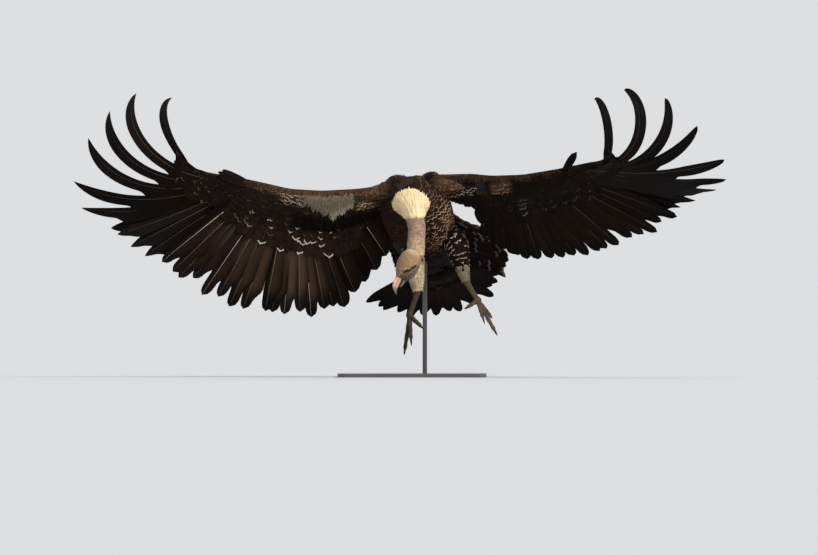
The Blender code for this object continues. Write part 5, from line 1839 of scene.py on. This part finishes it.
# --- bill, eyes and claws ---
def bill_half(skin, upper):
    """One half of the bill as a closed shell, with its colours."""
    _, crown, left = head_axes()
    t = evenly(46)
    angle = round_angles(36)
    if upper:
        hook = np.maximum(t - 0.62, 0.0) / 0.38
        centre = in_head(0.036 + 0.070 * t - 0.0035 * hook**2, 0.0065 - 0.0170 * hook**1.7, 0.0 * t)
        high = 0.0188 * (1 - 0.24 * t**2) * (1 - 0.90 * hook**2.0)
        bulge, dip = np.exp(-(((t - 0.42) / 0.14) ** 2)), np.exp(-(((t - 0.22) / 0.05) ** 2))
        high = high * (1 + 0.06 * bulge - 0.05 * dip)
        wide = 0.0128 * (1 - 0.42 * t) * (1 - 0.80 * hook**1.4)
        low = 0.0012 + 0.0022 * np.sin(np.clip((t - 0.30) / 0.35, 0, 1) * np.pi)
    else:
        centre = in_head(0.032 + 0.044 * t, 0.0022 - 0.0060 * t, 0.0 * t)
        wide = 0.0118 * np.sqrt(1 - 0.90 * t**2)
        low = 0.0215 * (1 - 0.97 * t**2) ** 0.65
        high = np.full(len(t), 0.0006)
    fill = np.sign(np.sin(angle)) * np.abs(np.sin(angle)) ** 0.85
    rise = np.where(angle <= np.pi, high[:, None], low[:, None]) * fill
    out = wide[:, None] * np.cos(angle) * (1 - 0.10 * np.clip(fill, 0, 1))
    spot = ((t[:, None] - 0.13) / 0.075) ** 2 + ((rise - 0.0105) / 0.0020) ** 2
    if upper:
        out = out - np.sign(out) * 0.0030 * np.exp(-spot)
    rings = centre[:, None] + rise[..., None] * crown + out[..., None] * left
    horn, tip, cere = skin.bill, skin.bill_tip, skin.cere
    tall = rise / np.maximum(high, 0.001)[:, None]
    t = t[:, None] * np.ones_like(rise)
    if upper:
        tone = mixed(cere, horn, ramp(t + 0.05 * tall, 0.20, 0.30))
        # Painted highlight: a paler band along the culmen's ridge.
        tone = mixed(tone, horn * vec((1.2, 1.45, 1.6)), ramp(tall, 0.72, 0.95) * ramp(t, 0.24, 0.36))
        stripe = within(tall, 0.48, 0.66, 0.08) * within(t, 0.24, 0.60, 0.06)
        tone = mixed(tone, horn * vec((0.62, 0.42, 0.36)), stripe)
        tone = mixed(tone, tip * 2.2, ramp(t, 0.66, 0.80))
        tone = mixed(tone, tip * 0.3, (1 - ramp(tall, 0.1, 0.5)) * ramp(t, 0.70, 0.85))
        # Painted shade: the nostril's dent is painted near black.
        tone = mixed(tone, np.zeros(3) + 0.004, np.exp(-spot))
    else:
        tone = mixed(cere * 0.9, horn * 0.26, ramp(t, 0.45, 0.85))
    tone = mixed(tone, tip * 0.3, np.exp(-((rise / 0.0018) ** 2)) * 0.85)
    return rings, np.clip(tone, 0, 1)


def eyeball(sign, radius):
    """A ball with its pole facing out of the head; 'across' grows from the pupil to the rim."""
    pole = eye_pole(sign)
    side = across(head_axes()[0], pole)
    polar = np.linspace(0.02, np.pi - 0.02, 34)
    angle = round_angles(40)[:, None]
    bulge = radius * (1 + 0.06 * np.exp(-((polar / 0.5) ** 2)))
    ring = np.sin(polar)[:, None, None] * (np.cos(angle) * side + np.sin(angle) * np.cross(pole, side))
    rings = eye_centre(sign) + bulge[:, None, None] * (np.cos(polar)[:, None, None] * pole + ring)
    return rings, np.repeat(polar[:, None] / (np.pi / 2), 40, 1)


# --- operators ---
def settings():
    """The three groups' values, with the colours as arrays."""
    for key in GROUPS:
        group = getattr(bpy.context.scene, key)
        yield SimpleNamespace(**{
            name: vec(value) if hasattr(value := getattr(group, name), "__len__") else value
            for name in group.__annotations__
        })


def seeded(number):
    return np.random.default_rng([bpy.context.scene.vulture_studio.seed, number])


def place_piece(made, slot, *nodes):
    """Hangs a finished piece on the bird, and hides the solids it stands for."""
    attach(made, "root")
    if nodes:
        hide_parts(*nodes)
    return made


@cache
def map_places():
    if "skin" not in bpy.data.objects:
        raise RuntimeError("make the skin before its plumage")
    return SkinPlaces(bpy.data.objects["skin"])


class MakeSkin(bpy.types.Operator):
    """Make the one skin of the body, wings, neck, head and legs"""

    bl_idname = "vulture.make_skin"
    bl_label = "Skin"

    def execute(self, context):
        plumage, skin, _ = settings()
        lids = Builder()
        for sign in (1.0, -1.0):
            lid_shell(lids, sign, skin.eye_radius)
        whole = fleshed("skin", body_flesh(plumage.coat_depth), 0.0066, 4)
        head = fleshed("head_flesh", head_flesh(), 0.0016, 2)
        sculpt_head(head.data, skin.eye_radius)
        legs = fleshed("leg_flesh", leg_flesh(), 0.0016, 2)
        sculpt_legs(legs.data)
        joined = (head, fleshed("lids", lids, 0.0009, 1), legs)
        for other in joined:
            union = whole.modifiers.new("Join", "BOOLEAN")
            union.operation = "UNION"
            union.solver = "MANIFOLD"
            union.object = other
        apply_modifiers(whole)
        for other in joined:
            bpy.data.objects.remove(other, do_unlink=True)
        mesh = whole.data
        mesh.shade_smooth()
        set_values(mesh, "tint", skin_tints(skin, plumage, points_of(mesh)))
        mesh.materials.clear()
        mesh.materials.append(skin_material("skin_bare", 900.0, 0.5, 0.62))
        bpy.ops.object.select_all(action="DESELECT")
        whole.select_set(True)
        context.view_layer.objects.active = whole
        bpy.ops.object.mode_set(mode="EDIT")
        bpy.ops.mesh.select_all(action="SELECT")
        bpy.ops.uv.smart_project(angle_limit=radians(66.0), island_margin=0.002)
        bpy.ops.object.mode_set(mode="OBJECT")
        mesh.uv_layers[0].name = "OFBake"
        nodes = nodes_matching("trunk", "neck", "head", "thigh", "tarsus", "foot", *ARM, "flank")
        place_piece(whole, "down_skin", "tail", *nodes)
        return {"FINISHED"}


@cache
def vane_look():
    return feather_material("flight_vane", 330.0, 0.62, 0.055)


@cache
def covert_look():
    return feather_material("covert_vane", 60.0, 0.70, 0.07)


@cache
def down_look():
    return down_material("soft_down")


class MakeFlightFeathers(bpy.types.Operator):
    """Make the primaries, secondaries, tertials, alulas and tail feathers"""

    bl_idname = "vulture.make_flight_feathers"
    bl_label = "Flight feathers"

    def execute(self, context):
        plumage, _, _ = settings()
        for number, side in enumerate(WINGS):
            nodes = nodes_matching(f"primaries_{side}", f"secondaries_{side}", f"tertials_{side}")
            flight = flight_feathers(plumage, side, seeded(10 + number))
            flight.place(f"flight_feathers_{side}", vane_look(), "dark_feather", *nodes)
            alula = alula_feathers(plumage, side)
            alula.place(f"alula_feathers_{side}", vane_look(), "dark_feather", f"alula_{side}")
        tail_feathers(plumage, seeded(30)).place("tail_vanes", vane_look(), "dark_feather", "tail_feathers")
        return {"FINISHED"}


class MakeCoverts(bpy.types.Operator):
    """Make the small feathers over both faces of the wings"""

    bl_idname = "vulture.make_coverts"
    bl_label = "Wing coverts"

    def execute(self, context):
        plumage, _, _ = settings()
        for number, (side, face) in enumerate((s, f) for s in WINGS for f in ("under", "upper")):
            nodes = nodes_matching(*(f"{part}_{side}" for part in ARM))
            coat = wing_coverts(plumage, side, face, seeded(40 + number))
            coat.place(f"{face}_coverts_{side}", covert_look(), "dark_feather", *nodes)
        return {"FINISHED"}


class MakeBodyFeathers(bpy.types.Operator):
    """Make the feathers of the trunk, thighs, flanks and tail root"""

    bl_idname = "vulture.make_body_feathers"
    bl_label = "Body feathers"

    def execute(self, context):
        plumage, _, _ = settings()
        size, depth = plumage.breast_feather, plumage.coat_depth
        lift = (0.0005, depth)
        coat, surface = Coat(), trunk_surface(depth)
        body_coat(
            coat, surface, spaced(surface, 0.0132), size, 0.0100, 0.0146, lift, (8, 7), seeded(50),
            trunk_colours(plumage), crescent=1.03,
        )
        coat.place("trunk_feathers", covert_look(), "breast_feather", "trunk")
        for number, side in enumerate(WINGS):
            coat, surface = Coat(), shoulder_surface(side, depth)
            body_coat(
                coat, surface, spaced(surface, 0.0120)[1:], 0.028, 0.0088, 0.0125, lift, (8, 7),
                seeded(55 + number), shoulder_colours(plumage), point=0.1,
            )
            nodes = ("trunk", f"upper_arm_{side}")
            coat.place(f"shoulder_feathers_{side}", covert_look(), "breast_feather", *nodes)
        for number, side in enumerate(WINGS):
            coat, surface = Coat(), thigh_surface(side, depth)
            body_coat(
                coat, surface, spaced(surface, 0.0118)[:-1], lambda share: size * (1.15 - 0.60 * share),
                lambda share: 0.0130 - 0.0095 * share, lambda share: 0.0160 - 0.0110 * share,
                (0.0004, 0.0052), (7, 5), seeded(60 + number), thigh_colours(plumage, side), point=0.35,
                crescent=1.22,
            )
            coat.place(f"thigh_feathers_{side}", covert_look(), "breast_feather", f"thigh_{side}")
        plates = [("tail_coverts", tail_lines(), tail_axes()[2], 0.080, "tail")]
        for side in WINGS:
            lines, back = flank_lines(side), body_axes()[2]
            plates.append((f"flank_feathers_{side}", lines, back, 0.030, f"flank_{side}"))
        for number, (name, lines, back, thickness, node) in enumerate(plates):
            coat = Coat()
            for face, surface in plate_surfaces(lines, back, thickness, 0.0030).items():
                total = surface.step_b.mean(axis=0)[:20].sum()
                last = 20.0 * max(1.0 - 0.050 / total, 0.3)
                body_coat(
                    coat, surface, np.linspace(0.5, last, max(int(total * 0.75 / 0.019), 4)), 0.058, 0.0185,
                    0.0205, (0.0005, 0.0042), (10, 7), seeded(70 + number),
                    plate_colours(plumage, face, name == "tail_coverts"), point=0.1, crescent=1.22,
                )
            coat.place(name, covert_look(), "breast_feather", node)
        return {"FINISHED"}


class MakeRuff(bpy.types.Operator):
    """Make the soft collar round the neck's root"""

    bl_idname = "vulture.make_ruff"
    bl_label = "Ruff"

    def execute(self, context):
        plumage, _, _ = settings()
        coat, surface = Coat(), ruff_surface()

        def paint(places, share, rng):
            n = len(places)
            tint = varied(np.tile(plumage.ruff, (n, 1)), rng, 0.08) * rng.uniform(0.8, 1.0, (n, 1))
            return np.clip(tint, 0, 1), with_strength(tint, 0.0), tint * 0.9

        body_coat(
            coat, surface, np.linspace(0.5, 31.0, 17), lambda share: 0.034 + 0.014 * share,
            lambda share: 0.0030 + 0.0012 * share, 0.0042, (0.0006, 0.0085), (9, 5), seeded(80), paint,
            point=0.80,
        )
        body_coat(
            coat, surface, np.linspace(14.0, 27.0, 4), 0.046, 0.0028, 0.0110, (0.003, 0.011), (9, 5),
            seeded(81), paint, point=0.85,
        )
        coat.place("ruff_tufts", down_look(), "ruff_feather", "ruff")
        return {"FINISHED"}


class MakeDown(bpy.types.Operator):
    """Make the short down of the neck and head"""

    bl_idname = "vulture.make_down"
    bl_label = "Down"

    def execute(self, context):
        plumage, skin, _ = settings()
        coat, neck, head = Coat(), neck_surface(-0.0004), head_surface(-0.0010)

        def paint(spots, share, rng):
            tint = varied(skin_tints(skin, plumage, spots) * 1.05, rng, 0.10)
            return tint, with_strength(tint, 0.0), tint * 0.9

        def downy(spots):
            """Whether a place on the head has down: the face and the brow are bare."""
            b, c, _ = head_place(spots)
            forward, above = brow_axes(b, c)
            eyes = np.minimum(*(np.linalg.norm(spots - eye_centre(s), axis=1) for s in (1.0, -1.0)))
            brow = (np.abs(above - 0.001) < 0.0065) & (np.abs(forward) < 0.029)
            return (eyes > 0.0135) & ~brow & (b < 0.030 + 0.25 * c) & (b > -0.060)

        body_coat(
            coat, neck, spaced(neck, 0.0044), 0.0074, 0.0007, 0.0033, (0.0, 0.0014), (4, 3), seeded(90),
            paint, point=0.7, turn=pi,
        )
        body_coat(
            coat, head, spaced(head, 0.0034), 0.0066, 0.00055, 0.0023, (0.0, 0.0010), (4, 3), seeded(91),
            paint, point=0.7, turn=pi, keep=downy,
        )
        coat.place("neck_down", down_look(), "down_skin", "neck", "head")
        return {"FINISHED"}


class MakeHeadParts(bpy.types.Operator):
    """Make the eyes and the bill's two halves"""

    bl_idname = "vulture.make_head_parts"
    bl_label = "Eyes and bill"

    def execute(self, context):
        _, skin, _ = settings()
        wet = eye_material(skin)
        for side, sign in (("left", 1.0), ("right", -1.0)):
            builder = Builder()
            rings, over = eyeball(sign, skin.eye_radius)
            builder.add_tube(rings, across=over)
            builder.place(f"eyeball_{side}", wet, "eye_gloss", f"eye_{side}")
        horn = horn_material("bill_keratin", 340.0, 0.34, 0.25)
        for name, upper in (("upper", True), ("lower", False)):
            builder = Builder()
            rings, tone = bill_half(skin, upper)
            builder.add_tube(rings, tint=tone)
            builder.place(f"mandible_{name}", horn, "bill_horn", f"bill_{name}")
        return {"FINISHED"}


class MakeClaws(bpy.types.Operator):
    """Make the eight claws"""

    bl_idname = "vulture.make_claws"
    bl_label = "Claws"

    def execute(self, context):
        _, skin, _ = settings()
        horn = horn_material("claw_keratin", 500.0, 0.36, 0.2)
        for side in LEGS:
            for name, _, claw, sole in toe_paths(side):
                s = evenly(len(claw))
                girth = np.interp(s, *CLAW_GIRTH)
                tone = np.repeat(mixed(skin.claw * 2.2, skin.claw, ramp(s, 0.0, 0.3))[:, None], 18, 1)
                builder = Builder()
                builder.add_tube(tube_rings(claw, girth * 0.82, girth, -sole, 18), tint=tone)
                builder.place(f"talon_{name}_{side}", horn, "claw_horn", f"claw_{name}_{side}")
        return {"FINISHED"}


class FinishStand(bpy.types.Operator):
    """Paint the stand"""

    bl_idname = "vulture.finish_stand"
    bl_label = "Stand"

    def execute(self, context):
        _, _, studio = settings()
        paint = stand_material(studio)
        for name in nodes_matching("stand_"):
            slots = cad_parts[name].material_slots
            if not len(slots):
                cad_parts[name].data.materials.append(paint)
            for slot in slots:
                slot.material = paint
        return {"FINISHED"}


class MakeStudio(bpy.types.Operator):
    """Make the floor, the light and the camera"""

    bl_idname = "vulture.make_studio"
    bl_label = "Studio"

    def execute(self, context):
        _, _, studio = settings()
        scene = context.scene
        mesh = bpy.data.meshes.new("studio_floor")
        shape = bmesh.new()
        bmesh.ops.create_grid(shape, x_segments=24, y_segments=24, size=900.0)
        shape.to_mesh(mesh)
        shape.free()
        mesh.materials.append(floor_material(studio))
        floor = linked("studio_floor", mesh)
        floor.location = (0.0, 0.0, -0.0005)
        floor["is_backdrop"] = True

        world = bpy.data.worlds.new("studio_air")
        world.use_nodes = True
        air = world.node_tree.nodes["Background"]
        air.inputs["Color"].default_value = (0.97, 0.98, 1.0, 1.0)
        air.inputs["Strength"].default_value = 0.75
        scene.world = world

        light = bpy.data.lights.new("key", "SUN")
        light.energy = 3.0
        light.angle = radians(14.0)
        light.color = (1.0, 0.965, 0.91)
        key = linked("key", light)
        key.rotation_mode = "QUATERNION"
        key.rotation_quaternion = Vector(unit(vec((-0.62, 0.52, -0.62)))).to_track_quat("-Z", "Y")
        key.location = (3.0, -3.0, 3.0)

        data = bpy.data.cameras.new("camera")
        data.sensor_width = 36.0
        data.lens = data.sensor_width * studio.camera_distance / studio.view_width
        data.clip_end = 3000.0
        camera = linked("camera", data)
        camera.location = (-0.0105, -studio.camera_distance, studio.view_height)
        camera.rotation_euler = (radians(90.0), 0.0, 0.0)
        scene.camera = camera
        scene.view_settings.view_transform = "Standard"
        return {"FINISHED"}


class VULTURE_PT_workshop(bpy.types.Panel):
    """Lists the pieces and their settings"""

    bl_idname = "VULTURE_PT_workshop"
    bl_label = "Landing vulture"
    bl_space_type = "VIEW_3D"
    bl_region_type = "UI"
    bl_category = "Vulture"

    def draw(self, context):
        for step in STEPS:
            self.layout.operator(step.bl_idname)
        for key in GROUPS:
            group, box = getattr(context.scene, key), self.layout.box()
            for name in group.__annotations__:
                box.prop(group, name)


GROUPS = {"vulture_plumage": VulturePlumage, "vulture_skin": VultureSkin, "vulture_studio": VultureStudio}
STEPS = (
    MakeSkin, MakeFlightFeathers, MakeCoverts, MakeBodyFeathers, MakeRuff, MakeDown, MakeHeadParts,
    MakeClaws, FinishStand, MakeStudio,
)


def register():
    for item in (*GROUPS.values(), *STEPS, VULTURE_PT_workshop):
        bpy.utils.register_class(item)
    for key, group in GROUPS.items():
        setattr(bpy.types.Scene, key, PointerProperty(type=group))


def unregister():
    for key in GROUPS:
        delattr(bpy.types.Scene, key)
    for item in reversed((*GROUPS.values(), *STEPS, VULTURE_PT_workshop)):
        bpy.utils.unregister_class(item)


def clear_startup():
    """Removes what a new file starts with."""
    for name in ("Cube", "Light", "Camera"):
        if name in bpy.data.objects:
            bpy.data.objects.remove(bpy.data.objects[name], do_unlink=True)


def main():
    clear_startup()
    register()
    for step in STEPS:
        getattr(bpy.ops.vulture, step.bl_idname.split(".")[1])()
    boxes = {"cad": CAD_BOX, "visual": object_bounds()}
    {name: [list(corner) for corner in box] for name, box in boxes.items()}


if __name__ == "__main__":
    main()
